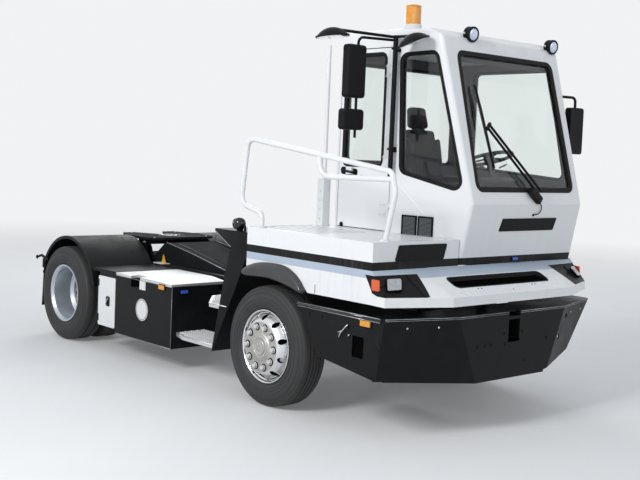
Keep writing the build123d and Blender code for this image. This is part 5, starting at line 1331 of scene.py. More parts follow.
class TRACTOR_OT_nose_trim(bpy.types.Operator):
    """Black slot liner with its floor plate, and screws of the nose"""
    bl_idname = "tractor.nose_trim"
    bl_label = "Nose trim"

    def execute(self, context):
        trim = Piece("nose_slot_liner")
        slope = (NOSE_HEAD_Z - NOSE_FOOT_Z) / (1.190 - 1.552)

        def top(x):
            return NOSE_FOOT_Z + slope * (x - 1.552)

        corners = ((1.322, -0.572), (1.448, -0.572), (1.448, 0.572), (1.322, 0.572))
        loops = []
        for grow, up in ((0.0050, 0.0006), (0.0035, 0.0030), (-0.0030, 0.0030), (-0.0040, 0.0), (-0.0040, -0.0300), (-0.0006, -0.0300),
                         (-0.0006, 0.0006)):
            loops.append([(x, y, top(x) + up) for x, y in rounded_outline(corners, 0.040, grow, 8)])
        trim.band(loops, "seal")
        trim.plate([(x, y, top(x) - 0.060) for x, y in ((1.310, -0.58), (1.450, -0.58), (1.450, 0.58), (1.310, 0.58))], (0, 0, 0.004), "seal", 0.0)
        trim.done()
        dots = [(1.475 + dx, y, top(1.475 + dx)) for y in (-0.36, -0.32, 0.30, 0.34) for dx in (0.0,)] + [(1.512, 0.02, top(1.512))]
        lean = Matrix.Rotation(math.atan(-slope), 4, "Y")
        item = stud(0.006, 0.0035)
        item.bm.transform(lean)
        spread("nose_screws", "chassis", [(repeated(item, "chassis", points=dots), "chassis")])
        return {"FINISHED"}


def bumper_front(side, share, z, out=0.0):
    """A point on the bumper's corner face: share 0 at the side, 1 at the front bend."""
    t = (z - 0.395) / (0.913 - 0.395)
    low = Vector((1.301, side * 1.245, 0.395)).lerp(Vector((1.554, side * 0.435, 0.395)), share)
    high = Vector((1.370, side * 1.245, 0.913)).lerp(Vector((1.554, side * 0.655, 0.913)), share)
    return low.lerp(high, t) + Vector((0.94, side * 0.33, -0.05)).normalized() * out


class TRACTOR_OT_bumper_trim(bpy.types.Operator):
    """Worn bright edge rails with painted highlights, side lamps, latch, recess and bolts of the bumper"""
    bl_idname = "tractor.bumper_trim"
    bl_label = "Bumper trim"

    def execute(self, context):
        trim = Piece("bumper_rails")
        # The thin bright lines on the rail's top and lower side and along the front ledge are painted highlights as
        # well as rubbed edges.
        for side in (-1, 1):
            y = side * 1.2452
            trim.tube([(0.430, y, 0.899), (1.338, y, 0.8965)], 0.0165, "gloss", 16)
            for z, out in ((0.9125, 0.0100), (0.8850, 0.0085)):
                trim.tube([(0.432, y + side * out, z), (1.336, y + side * out, z - 0.0025)], 0.0032, "edge", 8)
            line = [bumper_front(side, s, 0.9085, 0.0012) for s in (0.015, 0.5, 1.0)] + [Vector((1.5545, side * 0.075, 0.9085))]
            trim.tube(line, 0.0022, "edge", 6)
            line = [bumper_front(side, s, 0.896, 0.0010) for s in (0.015, 0.5, 1.0)] + [Vector((1.5545, side * 0.075, 0.896))]
            trim.tube(line, 0.0014, "edge", 6)
        trim.done()

        side_parts = Piece("bumper_side_fittings")
        for side in (-1, 1):
            y = side * 1.2455
            out = side * 0.011
            for low, high, reach, key in (((1.128, 0.828), (1.246, 0.884), 0.006, "plastic"), ((1.136, 0.834), (1.238, 0.878), 0.015, "amber")):
                side_parts.block((low[0], min(y, y + side * reach), low[1]), (high[0], max(y, y + side * reach), high[1]), key, 0.004)
            loops = []
            corners = ((1.057, 0.600), (1.162, 0.600), (1.162, 0.744), (1.057, 0.744))
            for grow, depth in ((0.006, 0.0004), (0.005, 0.0018), (-0.003, 0.0018), (-0.004, -0.0052), (-0.001, -0.0052), (-0.001, 0.0004)):
                loops.append([(x, y + side * depth, z) for x, z in rounded_outline(corners, 0.006, grow)])
            # The recess's walls and floor are painted shade.
            if side < 0:
                side_parts.band(loops, "painted_shade")
                side_parts.plate([(x, y + side * -0.0055, z) for x, z in rounded_outline(corners, 0.004, -0.003)], (0, side * 0.002, 0), "painted_shade", 0.0)
                pivot = along_axis((0.988, y, 0.800), (0, side, 0))
                side_parts.drum(0.020, 0.0, 0.009, "chassis", pivot, 20)
                side_parts.tube(rounded_path([(1.008, y + out, 0.824), (0.985, y + out * 1.6, 0.800), (0.935, y + out * 1.6, 0.748),
                                              (0.922, y + out * 1.6, 0.716)], 0.012), 0.0048, "bright", 8)
                side_parts.tube([(1.030, y + out, 0.752), (1.012, y + out, 0.742)], 0.0045, "bright", 8)
                side_parts.tube([(0.905, y + out, 0.752), (0.945, y + out, 0.766)], 0.0045, "bright", 8)
        side_parts.done()

        bolts = []
        jobs = []
        for side in (-1, 1):
            places = [(0.70, 0.560), (0.56, 0.840), (0.70, 0.840)]
            if side < 0:
                places += [(1.225, 0.478), (1.255, 0.468), (1.285, 0.458), (1.318, 0.748), (1.322, 0.722), (1.312, 0.672)]
            spots = [(x, side * 1.2455, z) for x, z in places]
            item = hex_bolt(0.016, 0.006, 0.011)
            item.bm.transform(Matrix.Rotation(math.radians(-90 * side), 4, "X"))
            jobs.append((repeated(item, "chassis", points=spots), "chassis"))
            item = hex_bolt(0.014, 0.006)
            item.bm.transform(along_axis((0, 0, 0), (0.94, side * 0.33, 0)))
            spots = [bumper_front(side, s, z, 0.0005) for s, z in ((0.30, 0.84), (0.70, 0.84))]
            jobs.append((repeated(item, "bright", points=spots), "bright"))
        item = hex_bolt(0.018, 0.008, 0.013)
        item.bm.transform(Matrix.Rotation(math.radians(90), 4, "Y"))
        spots = [(1.5545, y, z) for y, z in ((-0.110, 0.746), (0.157, 0.510), (-0.425, 0.668), (-0.340, 0.672), (-0.261, 0.668), (-0.100, 0.666),
                                             (0.110, 0.746), (0.425, 0.668))]
        jobs.append((repeated(item, "chassis", points=spots), "chassis"))
        spread("bumper_bolts", "chassis", jobs)
        return {"FINISHED"}


FLARE_TOP = ((-0.318, 1.058), (-0.300, 1.092), (-0.262, 1.120), (-0.150, 1.156), (0.020, 1.174), (0.204, 1.168), (0.334, 1.122),
             (0.417, 1.062), (0.455, 1.018), (0.468, 0.998))
FLARE_FOOT = ((-0.312, 1.046), (-0.282, 1.040), (-0.240, 1.036), (-0.129, 1.042), (0.025, 1.046), (0.175, 1.030), (0.318, 1.004),
              (0.405, 0.984), (0.445, 0.978), (0.462, 0.986))
SCREEN_FACE = ((-0.785, 0.312), (-0.482, 0.902), (-0.364, 1.151), (-0.290, 1.230), (-0.290, 1.385), (-0.800, 1.385),
               (-0.800, 1.365), (-0.564, 1.242), (-0.640, 1.009), (-0.795, 0.312))
SCREEN_WALL = ((-0.785, 0.312), (-0.482, 0.902), (-0.364, 1.151), (-0.290, 1.230), (-0.290, 1.245), (-0.372, 1.165),
               (-0.492, 0.908), (-0.795, 0.312))


def smooth_track(points, steps):
    """Points along a smooth curve through the given ones."""
    spots = [Vector((x, 0.0, z)) for x, z in points]
    made = []
    for i in range(len(spots) - 1):
        before, here = spots[max(i - 1, 0)], spots[i]
        after, beyond = spots[i + 1], spots[min(i + 2, len(spots) - 1)]
        for k in range(steps):
            t = k / steps
            made.append(0.5 * (2 * here + (after - before) * t + (2 * before - 5 * here + 4 * after - beyond) * t * t
                               + (3 * here - before - 3 * after + beyond) * t * t * t))
    return made + [spots[-1]]


class TRACTOR_OT_front_guards(bpy.types.Operator):
    """Rounded rubber flares over the front wheels and the folded black panels behind them"""
    bl_idname = "tractor.front_guards"
    bl_label = "Front flares and panels"

    def execute(self, context):
        guards = Piece("front_guards")
        tops, feet = smooth_track(FLARE_TOP, 4), smooth_track(FLARE_FOOT, 4)
        count = len(tops)
        bulge = [(0.0, 0.0), (0.03, 0.35), (0.12, 0.68), (0.27, 0.90), (0.45, 1.0), (0.63, 0.99), (0.80, 0.90), (0.92, 0.72),
                 (0.98, 0.48), (0.985, 0.20), (0.93, 0.0)]
        for side in (-1, 1):
            part = bmesh.new()
            rings = []
            for i, (top, foot) in enumerate(zip(tops, feet)):
                end = min(i, count - 1 - i) / 7.0
                proud = 0.052 * math.sqrt(max(0.02, 1.0 - max(0.0, 1.0 - end) ** 2))
                ring = []
                for share, out in bulge:
                    spot = top.lerp(foot, share)
                    ring.append(part.verts.new((spot.x, side * (1.2102 + proud * out), spot.z)))
                rings.append(ring)
            for first, last in zip(rings, rings[1:]):
                for i in range(len(bulge)):
                    j = (i + 1) % len(bulge)
                    part.faces.new((first[i], first[j], last[j], last[i]))
            part.faces.new(rings[0])
            part.faces.new(rings[-1][::-1])
            guards.add(part, "flare", smooth=True)
            guards.plate([(x, side * 1.1600, z) for x, z in SCREEN_FACE], (0, side * 0.0100, 0), "bumper", 0.0015)
            guards.plate([(x, side * 0.5000, z) for x, z in SCREEN_WALL], (0, side * 0.6598, 0), "bumper", 0.0015)
            low, high = sorted((side * 0.5000, side * 1.1598))
            guards.block((-0.800, low, 1.365), (-0.2905, high, 1.385), "bumper", 0.002)
            low, high = sorted((side * 0.4302, side * 0.4998))
            guards.block((-0.330, low, 1.245), (-0.2905, high, 1.385), "bumper", 0.002)
            low, high = sorted((side * 0.3700, side * 0.4298))
            guards.block((-0.330, low, 0.830), (-0.2905, high, 1.385), "bumper", 0.002)
            infill = ((0.300, 1.112), (0.401, 1.112), (0.4305, 0.9895), (0.418, 0.9895), (0.395, 1.040), (0.350, 1.085))
            guards.plate([(x, side * 1.1805, z) for x, z in infill], (0, side * 0.0293, 0), "paint", 0.001)
            edge = [(-0.800, side * 1.1706, 1.3655), (-0.566, side * 1.1706, 1.2435)]
            guards.tube(edge, 0.0035, "edge", 8)
        made = guards.done("front_mudguards")
        made.data.set_sharp_from_angle(angle=math.radians(40))
        return {"FINISHED"}


# Decks, tank and locker
def in_outline(outline, margin):
    """A test for points inside a convex outline, at least a margin from its sides."""
    count = len(outline)
    area = sum(outline[i][0] * outline[(i + 1) % count][1] - outline[(i + 1) % count][0] * outline[i][1] for i in range(count))
    turn = 1 if area > 0 else -1

    def test(x, y):
        for i in range(count):
            (x0, y0), (x1, y1) = outline[i], outline[(i + 1) % count]
            length = math.hypot(x1 - x0, y1 - y0)
            if turn * ((x1 - x0) * (y - y0) - (y1 - y0) * (x - x0)) / length < margin:
                return False
        return True
    return test


class TRACTOR_OT_deck_patterns(bpy.types.Operator):
    """Raised studs and punched rings on the aluminium deck and the stair treads"""
    bl_idname = "tractor.deck_patterns"
    bl_label = "Deck patterns"

    def execute(self, context):
        deck = ((-2.42, -1.17), (-1.44, -1.17), (-1.44, -0.567), (-1.82, -0.45), (-2.42, -0.45))
        low = ((-1.43, -1.11), (-1.24, -1.17), (-0.78, -1.17), (-0.78, -0.80), (-1.43, -0.80))
        high = ((-1.19, -0.89), (-0.85, -1.17), (-0.60, -1.17), (-0.60, -0.80), (-1.19, -0.80))
        inside = in_outline(deck, 0.018)
        spots = grid_points((-2.40, -1.155), (-1.45, -0.46), 0.021, 0.8150,
                            lambda x, y: inside(x, y) and not (-2.16 < x < -1.96 and y < -1.06))
        jobs = [(repeated(stud(0.0062, 0.0022, 6), "alloy", points=spots), "alloy")]
        ring = Piece("ring")
        ring.turned([(0.0085, 0.0), (0.0140, 0.0), (0.0122, 0.0075), (0.0098, 0.0080)], "alloy", steps=10, closed=True)
        # A flat black disc in each punched ring is painted shade for the hole.
        hole = Piece("hole")
        hole.turned([(0.0, 0.0006), (0.0088, 0.0006), (0.0088, 0.0), (0.0, 0.0)], "painted_shade", steps=8, smooth=False)
        spots = []
        for outline, z in ((low, 0.372), (high, 0.730)):
            xs = [p[0] for p in outline]
            ys = [p[1] for p in outline]
            spots += grid_points((min(xs), min(ys)), (max(xs), max(ys)), 0.034, z + 0.0001, in_outline(outline, 0.022))
        jobs.append((repeated(ring, "alloy", points=spots), "alloy"))
        jobs.append((repeated(hole, "painted_shade", points=spots), "painted_shade"))
        spread("deck_patterns", "chassis", jobs)
        teeth = Piece("tread_noses")
        for outline, z in ((low, 0.372), (high, 0.730)):
            (x0, y0), (x1, y1), (x2, y2) = outline[0], outline[1], outline[2]
            for a, b in (((x0, y0), (x1, y1)), ((x1, y1), (x2, y2))):
                teeth.tube([(a[0], a[1] - 0.001, z - 0.004), (b[0], b[1] - 0.001, z - 0.004)], 0.0045, "alloy", 8)
        teeth.tube([(-2.42, -1.1705, 0.811), (-2.145, -1.1705, 0.811)], 0.004, "alloy", 8)
        teeth.tube([(-1.977, -1.1705, 0.811), (-1.44, -1.1705, 0.811), (-1.4395, -0.567, 0.811)], 0.004, "alloy", 8)
        teeth.done()
        return {"FINISHED"}


class TRACTOR_OT_tank_fittings(bpy.types.Operator):
    """Bare disc, marker lamps, plates, locker door with its latch and folded edges"""
    bl_idname = "tractor.tank_fittings"
    bl_label = "Tank and locker fittings"

    def execute(self, context):
        parts = Piece("tank_fittings")
        for side in (-1, 1):
            y = 1.1702 if side < 0 else 1.1502
            out = along_axis((-1.936, side * y, 0.512), (0, side, 0))
            if side < 0:
                parts.drum(0.105, 0.0, 0.0016, "blank", out, 48, 0.0006)
                parts.turned([(0.092, 0.0016), (0.097, 0.0016), (0.097, 0.0022), (0.092, 0.0022)], "plastic", out, closed=True)
            z = 0.769 if side < 0 else 0.700
            parts.block((-1.650, min(side * y, side * (y + 0.006)), z - 0.028), (-1.544, max(side * y, side * (y + 0.006)), z + 0.028), "plastic", 0.003)
            parts.block((-1.643, min(side * y, side * (y + 0.016)), z - 0.021), (-1.551, max(side * y, side * (y + 0.016)), z + 0.021), "amber", 0.005)
        parts.block((-1.985, -1.1735, 0.702), (-1.881, -1.1702, 0.785), "blank", 0.0015)
        parts.block((-2.135, -1.1725, 0.700), (-1.975, -1.1702, 0.712), "plastic", 0.001)
        place = along_axis((-1.4295, -1.044, 0.742), (1, 0, 0))
        parts.block((-1.4298, -1.090, 0.722), (-1.424, -0.998, 0.762), "plastic", 0.002)
        parts.block((-1.4245, -1.083, 0.727), (-1.412, -1.005, 0.757), "blue", 0.004)
        for z in (0.2195, 0.7875):
            parts.tube([(-2.418, -1.1706, z), (-1.431, -1.1706, z)], 0.0022, "edge", 6)
        parts.tube([(-1.4305, -1.1706, 0.222), (-1.4305, -1.1706, 0.786)], 0.0018, "edge", 6)
        lid = ((-2.868, -1.1697), (-2.422, -1.1697), (-2.422, -0.452), (-2.868, -0.452))
        parts.plate([(x, y, 0.8152) for x, y in rounded_outline(lid, 0.010)], (0, 0, 0.004), "bumper", 0.0015)
        for x in (-2.80, -2.49):
            parts.block((x - 0.030, -0.475, 0.819), (x + 0.030, -0.435, 0.829), "chassis", 0.003)
        door = ((-2.744, 0.256), (-2.424, 0.256), (-2.424, 0.752), (-2.744, 0.752))
        parts.plate([(x, -1.1703, z) for x, z in rounded_outline(door, 0.014)], (0, -0.006, 0), "plain_paint", 0.002)
        latch = rounded_outline(((-2.590, 0.462), (-2.520, 0.462), (-2.520, 0.560), (-2.590, 0.560)), 0.014)
        parts.plate([(x, -1.1764, z) for x, z in latch], (0, -0.004, 0), "plastic", 0.0015)
        parts.tube(rounded_path([(-2.572, -1.180, 0.480), (-2.572, -1.192, 0.486), (-2.540, -1.192, 0.540), (-2.540, -1.180, 0.546)], 0.006), 0.005,
                   "bright", 8)
        for z in (0.330, 0.680):
            parts.block((-2.758, -1.181, z - 0.035), (-2.728, -1.1703, z + 0.035), "plastic", 0.003)
        parts.block((-2.900, -0.442, 0.8292), (-2.730, -0.340, 0.838), "blank", 0.002)
        wedge = [(-2.820, -0.386, 0.838), (-2.752, -0.386, 0.838), (-2.800, -0.386, 0.925)]
        parts.plate(wedge, (0, 0.012, 0), "yellow", 0.001)
        parts.done()

        left = Piece("fuel_tank_fittings")
        for x in (-2.25, -1.95, -1.62):
            strap = rounded_path([(x, 0.642, 0.275), (x, 1.152, 0.275), (x, 1.152, 0.752), (x, 0.642, 0.752)], 0.092, 8)
            loops = []
            rows = [[Vector((p.x - 0.022, p.y, p.z)), Vector((p.x + 0.022, p.y, p.z))] for p in strap]
            middle = Vector((x, 0.90, 0.513))
            part = bmesh.new()
            rings = []
            for a, b in rows:
                out = Vector((0, a.y - middle.y, a.z - middle.z)).normalized() * 0.004
                rings.append([part.verts.new(p) for p in (a, b, b + out, a + out)])
            for first, last in zip(rings, rings[1:]):
                for i in range(4):
                    part.faces.new((first[i], first[(i + 1) % 4], last[(i + 1) % 4], last[i]))
            part.faces.new(rings[0])
            part.faces.new(rings[-1][::-1])
            left.add(part, "bright")
        cap = along_axis((-1.500, 1.060, 0.7495), (0, 0.35, 1))
        left.turned([(0.0, -0.02), (0.044, -0.02), (0.044, 0.020), (0.052, 0.022), (0.052, 0.046), (0.046, 0.052), (0.0, 0.052)], "plastic", cap)
        left.done()
        return {"FINISHED"}


class TRACTOR_OT_platform_fittings(bpy.types.Operator):
    """Handrail feet, round work lamp, grit strips and panel joints of the platform"""
    bl_idname = "tractor.platform_fittings"
    bl_label = "Platform fittings"

    def execute(self, context):
        parts = Piece("platform_fittings")
        for x, y in ((-0.162, -1.165), (1.125, -1.030)):
            foot = along_axis((x, y, 1.4402), (0, 0, 1))
            parts.turned([(0.0225, 0.0), (0.046, 0.0), (0.046, 0.007), (0.030, 0.009), (0.026, 0.018), (0.0225, 0.018)], "plain_paint", foot,
                         closed=True)
            for k in range(4):
                angle = math.pi * (0.25 + 0.5 * k)
                parts.drum(0.0055, 0.007, 0.011, "bright", foot @ Matrix.Translation((0.037 * math.cos(angle), 0.037 * math.sin(angle), 0)), 6, 0.001)
        ball = along_axis((-0.520, -1.120, 1.4435), (-1, -0.15, -0.05))
        profile = [(0.0, -0.052)] + [(0.056 * math.cos(a), 0.052 * math.sin(a)) for a in [math.radians(-75 + 13 * i) for i in range(11)]]
        parts.turned(profile + [(0.046, 0.042), (0.0, 0.042)], "gloss", ball)
        parts.turned([(0.0, 0.050), (0.030, 0.048), (0.0445, 0.0425), (0.0, 0.0424)], "clear", ball)
        parts.block((-0.530, -1.140, 1.3852), (-0.490, -1.100, 1.400), "plastic", 0.004)
        parts.tube([(-0.480, -1.120, 1.440), (-0.455, -1.120, 1.440), (-0.440, -1.120, 1.420), (-0.440, -1.120, 1.386)], 0.010, "plastic", 8)
        for y in (-1.09, -0.99, -0.89, -0.79, -0.69, -0.59):
            parts.block((-0.24, y - 0.020, 1.4402), (0.46, y + 0.020, 1.4412), "grit", 0.0004)
        parts.block((-0.288, -1.209, 1.4402), (-0.268, -0.375, 1.4442), "plain_paint", 0.0015)
        parts.block((0.574, -1.2115, 0.994), (0.580, -1.2102, 1.066), "seal", 0.0004)
        for z0, z1 in ((1.440, 1.452),):
            parts.block((-0.298, -0.468, z0), (-0.202, -0.372, z1), "plain_paint", 0.003)
        for dx in (-0.036, 0.036):
            for dy in (-0.036, 0.036):
                parts.drum(0.006, 0.0, 0.005, "bright", along_axis((-0.25 + dx, -0.42 + dy, 1.452), (0, 0, 1)), 6, 0.001)
        for z in (1.50, 1.58, 1.66, 1.74):
            parts.drum(0.006, 0.0, 0.003, "bright", along_axis((-0.250, -0.4602, z), (0, -1, 0)), 8, 0.001)
        parts.done()
        panel = [(-0.79, -1.1705, 1.30), (-0.35, -1.1705, 1.20), (-0.55, -1.1705, 0.80), (-0.70, -1.1705, 0.50), (-0.76, -1.1705, 0.33),
                 (-0.33, -1.1705, 1.35), (-0.56, -1.1705, 1.35)]
        item = stud(0.008, 0.005)
        item.bm.transform(Matrix.Rotation(math.radians(90), 4, "X"))
        spread("screen_rivets", "chassis", [(repeated(item, "chassis", points=panel), "chassis")])
        return {"FINISHED"}


class TRACTOR_OT_rear_fittings(bpy.types.Operator):
    """Rear lamp lenses, bare plate, marker arm, mudguard screws and flap bars"""
    bl_idname = "tractor.rear_fittings"
    bl_label = "Rear lamps and mudguards"

    def execute(self, context):
        rear = Piece("rear_fittings")
        x = -4.0205
        for side in (-1, 1):
            for a, b, key in ((0.768, 0.880, "red"), (0.884, 0.975, "clear"), (0.979, 1.058, "red"), (1.062, 1.142, "amber")):
                low, high = sorted((side * a, side * b))
                rear.block((x - 0.016, low, 0.698), (x, high, 0.782), key, 0.006)
            low, high = sorted((side * 0.762, side * 1.148))
            rear.block((x - 0.004, low, 0.692), (x + 0.001, high, 0.788), "plastic", 0.002)
            for y in (0.80, 1.11):
                rear.tube([(-3.978, side * y, 0.740), (-3.955, side * y, 0.740)], 0.012, "chassis", 8)
            arm = [(-3.803, 0.809), (-3.961, 0.844), (-4.055, 0.815), (-4.050, 0.795), (-3.960, 0.820), (-3.815, 0.786)]
            rear.plate([(px, side * 1.1850, pz) for px, pz in arm], (0, side * 0.012, 0), "plastic", 0.003)
            rear.drum(0.022, 0.0, 0.014, "plastic", along_axis((-4.040, side * 1.197, 0.806), (0, side, 0)), 20, 0.004)
            low, high = sorted((side * 0.565, side * 1.180))
            rear.block((-3.948, low, 0.640), (-3.928, high, 0.668), "chassis", 0.003)
        rear.block((-3.9960, -0.125, 0.565), (-3.9942, 0.125, 0.715), "blank", 0.0006)
        rear.block((-4.002, -0.050, 0.722), (-3.980, 0.050, 0.738), "plastic", 0.004)
        rear.done()
        spots = []
        for side in (-1, 1):
            for degrees in (25, 50, 75, 105, 130):
                angle = math.radians(degrees)
                spots += [(-WHEELBASE + 0.5835 * math.cos(angle), side * y, 0.505 + 0.5835 * math.sin(angle)) for y in (0.50, 0.62)]
        spread("guard_screws", "chassis", [(repeated(stud(0.009, 0.004), "chassis", points=spots), "chassis")])
        return {"FINISHED"}


# Coupling, boom and frame
class TRACTOR_OT_coupling_fittings(bpy.types.Operator):
    """Grease grooves, rub ring, jaw lock, bolts and release handle of the coupling plate"""
    bl_idname = "tractor.coupling_fittings"
    bl_label = "Coupling plate fittings"

    def execute(self, context):
        plate = Piece("coupling_fittings", "coupling_plate")
        top = 1.0852
        for a, b in (((-3.06, -0.26), (-3.06, 0.26)), ((-3.14, -0.36), (-3.42, -0.36)), ((-3.14, 0.36), (-3.42, 0.36)), ((-3.12, -0.14), (-3.42, -0.22)),
                     ((-3.12, 0.14), (-3.42, 0.22))):
            plate.tube([(a[0], a[1], top - 0.0008), (b[0], b[1], top - 0.0008)], 0.0045, "grease", 6)
        frame = Matrix.Translation((-3.28, 0, top))
        plate.turned([(0.070, -0.001), (0.094, -0.001), (0.094, 0.0022), (0.070, 0.0022)], "bright", frame, steps=40, closed=True)
        plate.turned([(0.0262, -0.060), (0.034, -0.060), (0.034, 0.0012), (0.0262, 0.0012)], "bright", frame, steps=32, closed=True)
        handle = [(-3.20, -0.10, 1.035), (-3.20, -0.36, 1.030), (-3.17, -0.405, 1.030), (-3.12, -0.405, 1.032)]
        plate.tube(rounded_path(handle, 0.03), 0.009, "bright", 8)
        plate.done()
        spots = [(-3.28 + 0.13 * math.cos(a), 0.13 * math.sin(a), top) for a in [math.radians(30 + 60 * i) for i in range(6)]]
        spots += [(-3.05, y, top) for y in (-0.34, 0.34)] + [(-3.60, y, top) for y in (-0.29, 0.29)]
        jobs = [(repeated(hex_bolt(0.018, 0.003), "bright", points=[p for p in spots if p[0] > -3.36 or abs(p[1]) > 0.2]), "bright")]
        spread("coupling_bolts", "coupling_plate", jobs)

        boom = Piece("boom_fittings", "boom")
        for side in (-1, 1):
            for y in (0.250, 0.330):
                boom.drum(0.034, 0.0, 0.006, "boom", along_axis((-1.750, side * 0.3355, 0.760), (0, side, 0)), 24)
            line = [(-1.72, side * 0.322, 0.858), (-2.30, side * 0.322, 0.969), (-2.838, side * 0.322, 1.0515)]
            boom.tube(line, 0.0035, "edge", 6)
            hose = [(-1.86, side * 0.275, 0.892), (-2.10, side * 0.270, 0.942), (-2.45, side * 0.265, 1.008), (-2.70, side * 0.262, 1.045)]
            boom.tube(rounded_path(hose, 0.3), 0.009, "rubber", 8)
        boom.done()

        for name, body in (("barrel_fittings", "barrels"),):
            rams = Piece(name, body)
            base = Vector((-2.600, 0, 0.330))
            along = (Vector((-2.790, 0, 0.830)) - base).normalized()
            for side in (-1, 1):
                end = base + along * (0.5349 - 0.074) + Vector((0, side * 0.215, 0))
                rams.turned([(0.0345, 0.0), (0.0575, 0.0), (0.0590, -0.004), (0.0590, -0.030), (0.0545, -0.034), (0.0345, 0.002)], "chassis",
                            along_axis(end + along * 0.0042, along), steps=32, closed=True)
            rams.done()
        return {"FINISHED"}


class TRACTOR_OT_frame_bolts(bpy.types.Operator):
    """Rows of bolts along the rails, spring clamps and cross members"""
    bl_idname = "tractor.frame_bolts"
    bl_label = "Frame bolts"

    def execute(self, context):
        jobs = []
        for side in (-1, 1):
            spots = []
            for x in (-3.90, -3.84, -3.46, -3.40, -3.34, -2.64, -2.56, -2.10, -2.04, -1.80, -1.70, -1.05, -0.90, -0.30, 0.50, 1.00, 1.10):
                spots += [(x, side * 0.4302, z) for z in (0.650, 0.780)]
            item = hex_bolt(0.024, 0.012, 0.018)
            item.bm.transform(Matrix.Rotation(math.radians(-90 * side), 4, "X"))
            jobs.append((repeated(item, "chassis", points=spots), "chassis"))
            u_bolts = Piece("clamp")
            for x in (-0.055, 0.055):
                for y in (side * 0.352, side * 0.428):
                    u_bolts.tube([(x, y, 0.330), (x, y, 0.500)], 0.009, "iron", 8)
                u_bolts.tube([(x, side * 0.352, 0.500), (x, side * 0.428, 0.500)], 0.009, "iron", 8)
            jobs.append((u_bolts.mesh(), "iron"))
        tie = Piece("tie_rod_lines")
        for y in (-0.33, 0.33):
            line = [(-3.85, y, 0.60), (-3.0, y, 0.585), (-2.2, y, 0.585), (-1.35, y, 0.60)]
            tie.tube(rounded_path(line, 0.5), 0.007, "rubber", 8)
        jobs.append((tie.mesh(), "rubber"))
        spread("frame_bolts", "chassis", jobs)
        return {"FINISHED"}


# Driver's place
def inflated(name, piece, voxel, reach, pressure=4.0):
    """A padded mesh: remeshed, blown up a little as cloth, and smoothed once."""
    scene = bpy.context.scene
    raw = bpy.data.objects.new(name, piece.mesh())
    scene.collection.objects.link(raw)
    remesh = raw.modifiers.new("voxels", "REMESH")
    remesh.mode = "VOXEL"
    remesh.voxel_size = voxel
    bpy.context.view_layer.update()
    graph = bpy.context.evaluated_depsgraph_get()
    mesh = bpy.data.meshes.new_from_object(raw.evaluated_get(graph), depsgraph=graph)
    mats = [slot for slot in raw.data.materials]
    bpy.data.objects.remove(raw)
    soft = bpy.data.objects.new(name, mesh)
    scene.collection.objects.link(soft)
    start = [v.co.copy() for v in mesh.vertices]
    cloth = soft.modifiers.new("cloth", "CLOTH")
    cloth.settings.use_pressure = True
    cloth.settings.uniform_pressure_force = pressure
    cloth.settings.effector_weights.gravity = 0.0
    cloth.settings.quality = 4
    for step in range(1, 21):
        scene.frame_set(step)
    graph = bpy.context.evaluated_depsgraph_get()
    blown = bpy.data.meshes.new_from_object(soft.evaluated_get(graph), depsgraph=graph)
    soft.modifiers.remove(cloth)
    for i, vert in enumerate(mesh.vertices):
        move = blown.vertices[i].co - start[i]
        if move.length > reach:
            move = move.normalized() * reach
        vert.co = start[i] + move
    bpy.data.meshes.remove(blown)
    scene.frame_set(1)
    smooth = soft.modifiers.new("smooth", "SUBSURF")
    smooth.levels = 1
    smooth.render_levels = 1
    bpy.context.view_layer.update()
    graph = bpy.context.evaluated_depsgraph_get()
    final = bpy.data.meshes.new_from_object(soft.evaluated_get(graph), depsgraph=graph)
    bpy.data.objects.remove(soft)
    final.materials.clear()
    for mat in mats:
        final.materials.append(mat)
    final.polygons.foreach_set("use_smooth", [True] * len(final.polygons))
    return final


def soft_block(piece, low, high, key, corner, top=None):
    """A block with generously rounded edges, narrowed towards its top where asked."""
    part = bmesh.new()
    bmesh.ops.create_cube(part, size=1.0)
    for vert in part.verts:
        narrow = top if top and vert.co.z > 0 else 1.0
        vert.co = Vector([(a + b) / 2 + c * (b - a) * (narrow if i == 1 else 1.0) for i, (a, b, c) in enumerate(zip(low, high, vert.co))])
    bmesh.ops.bevel(part, geom=part.edges[:], offset=corner, segments=4, profile=0.5, affect="EDGES")
    piece.add(part, key)


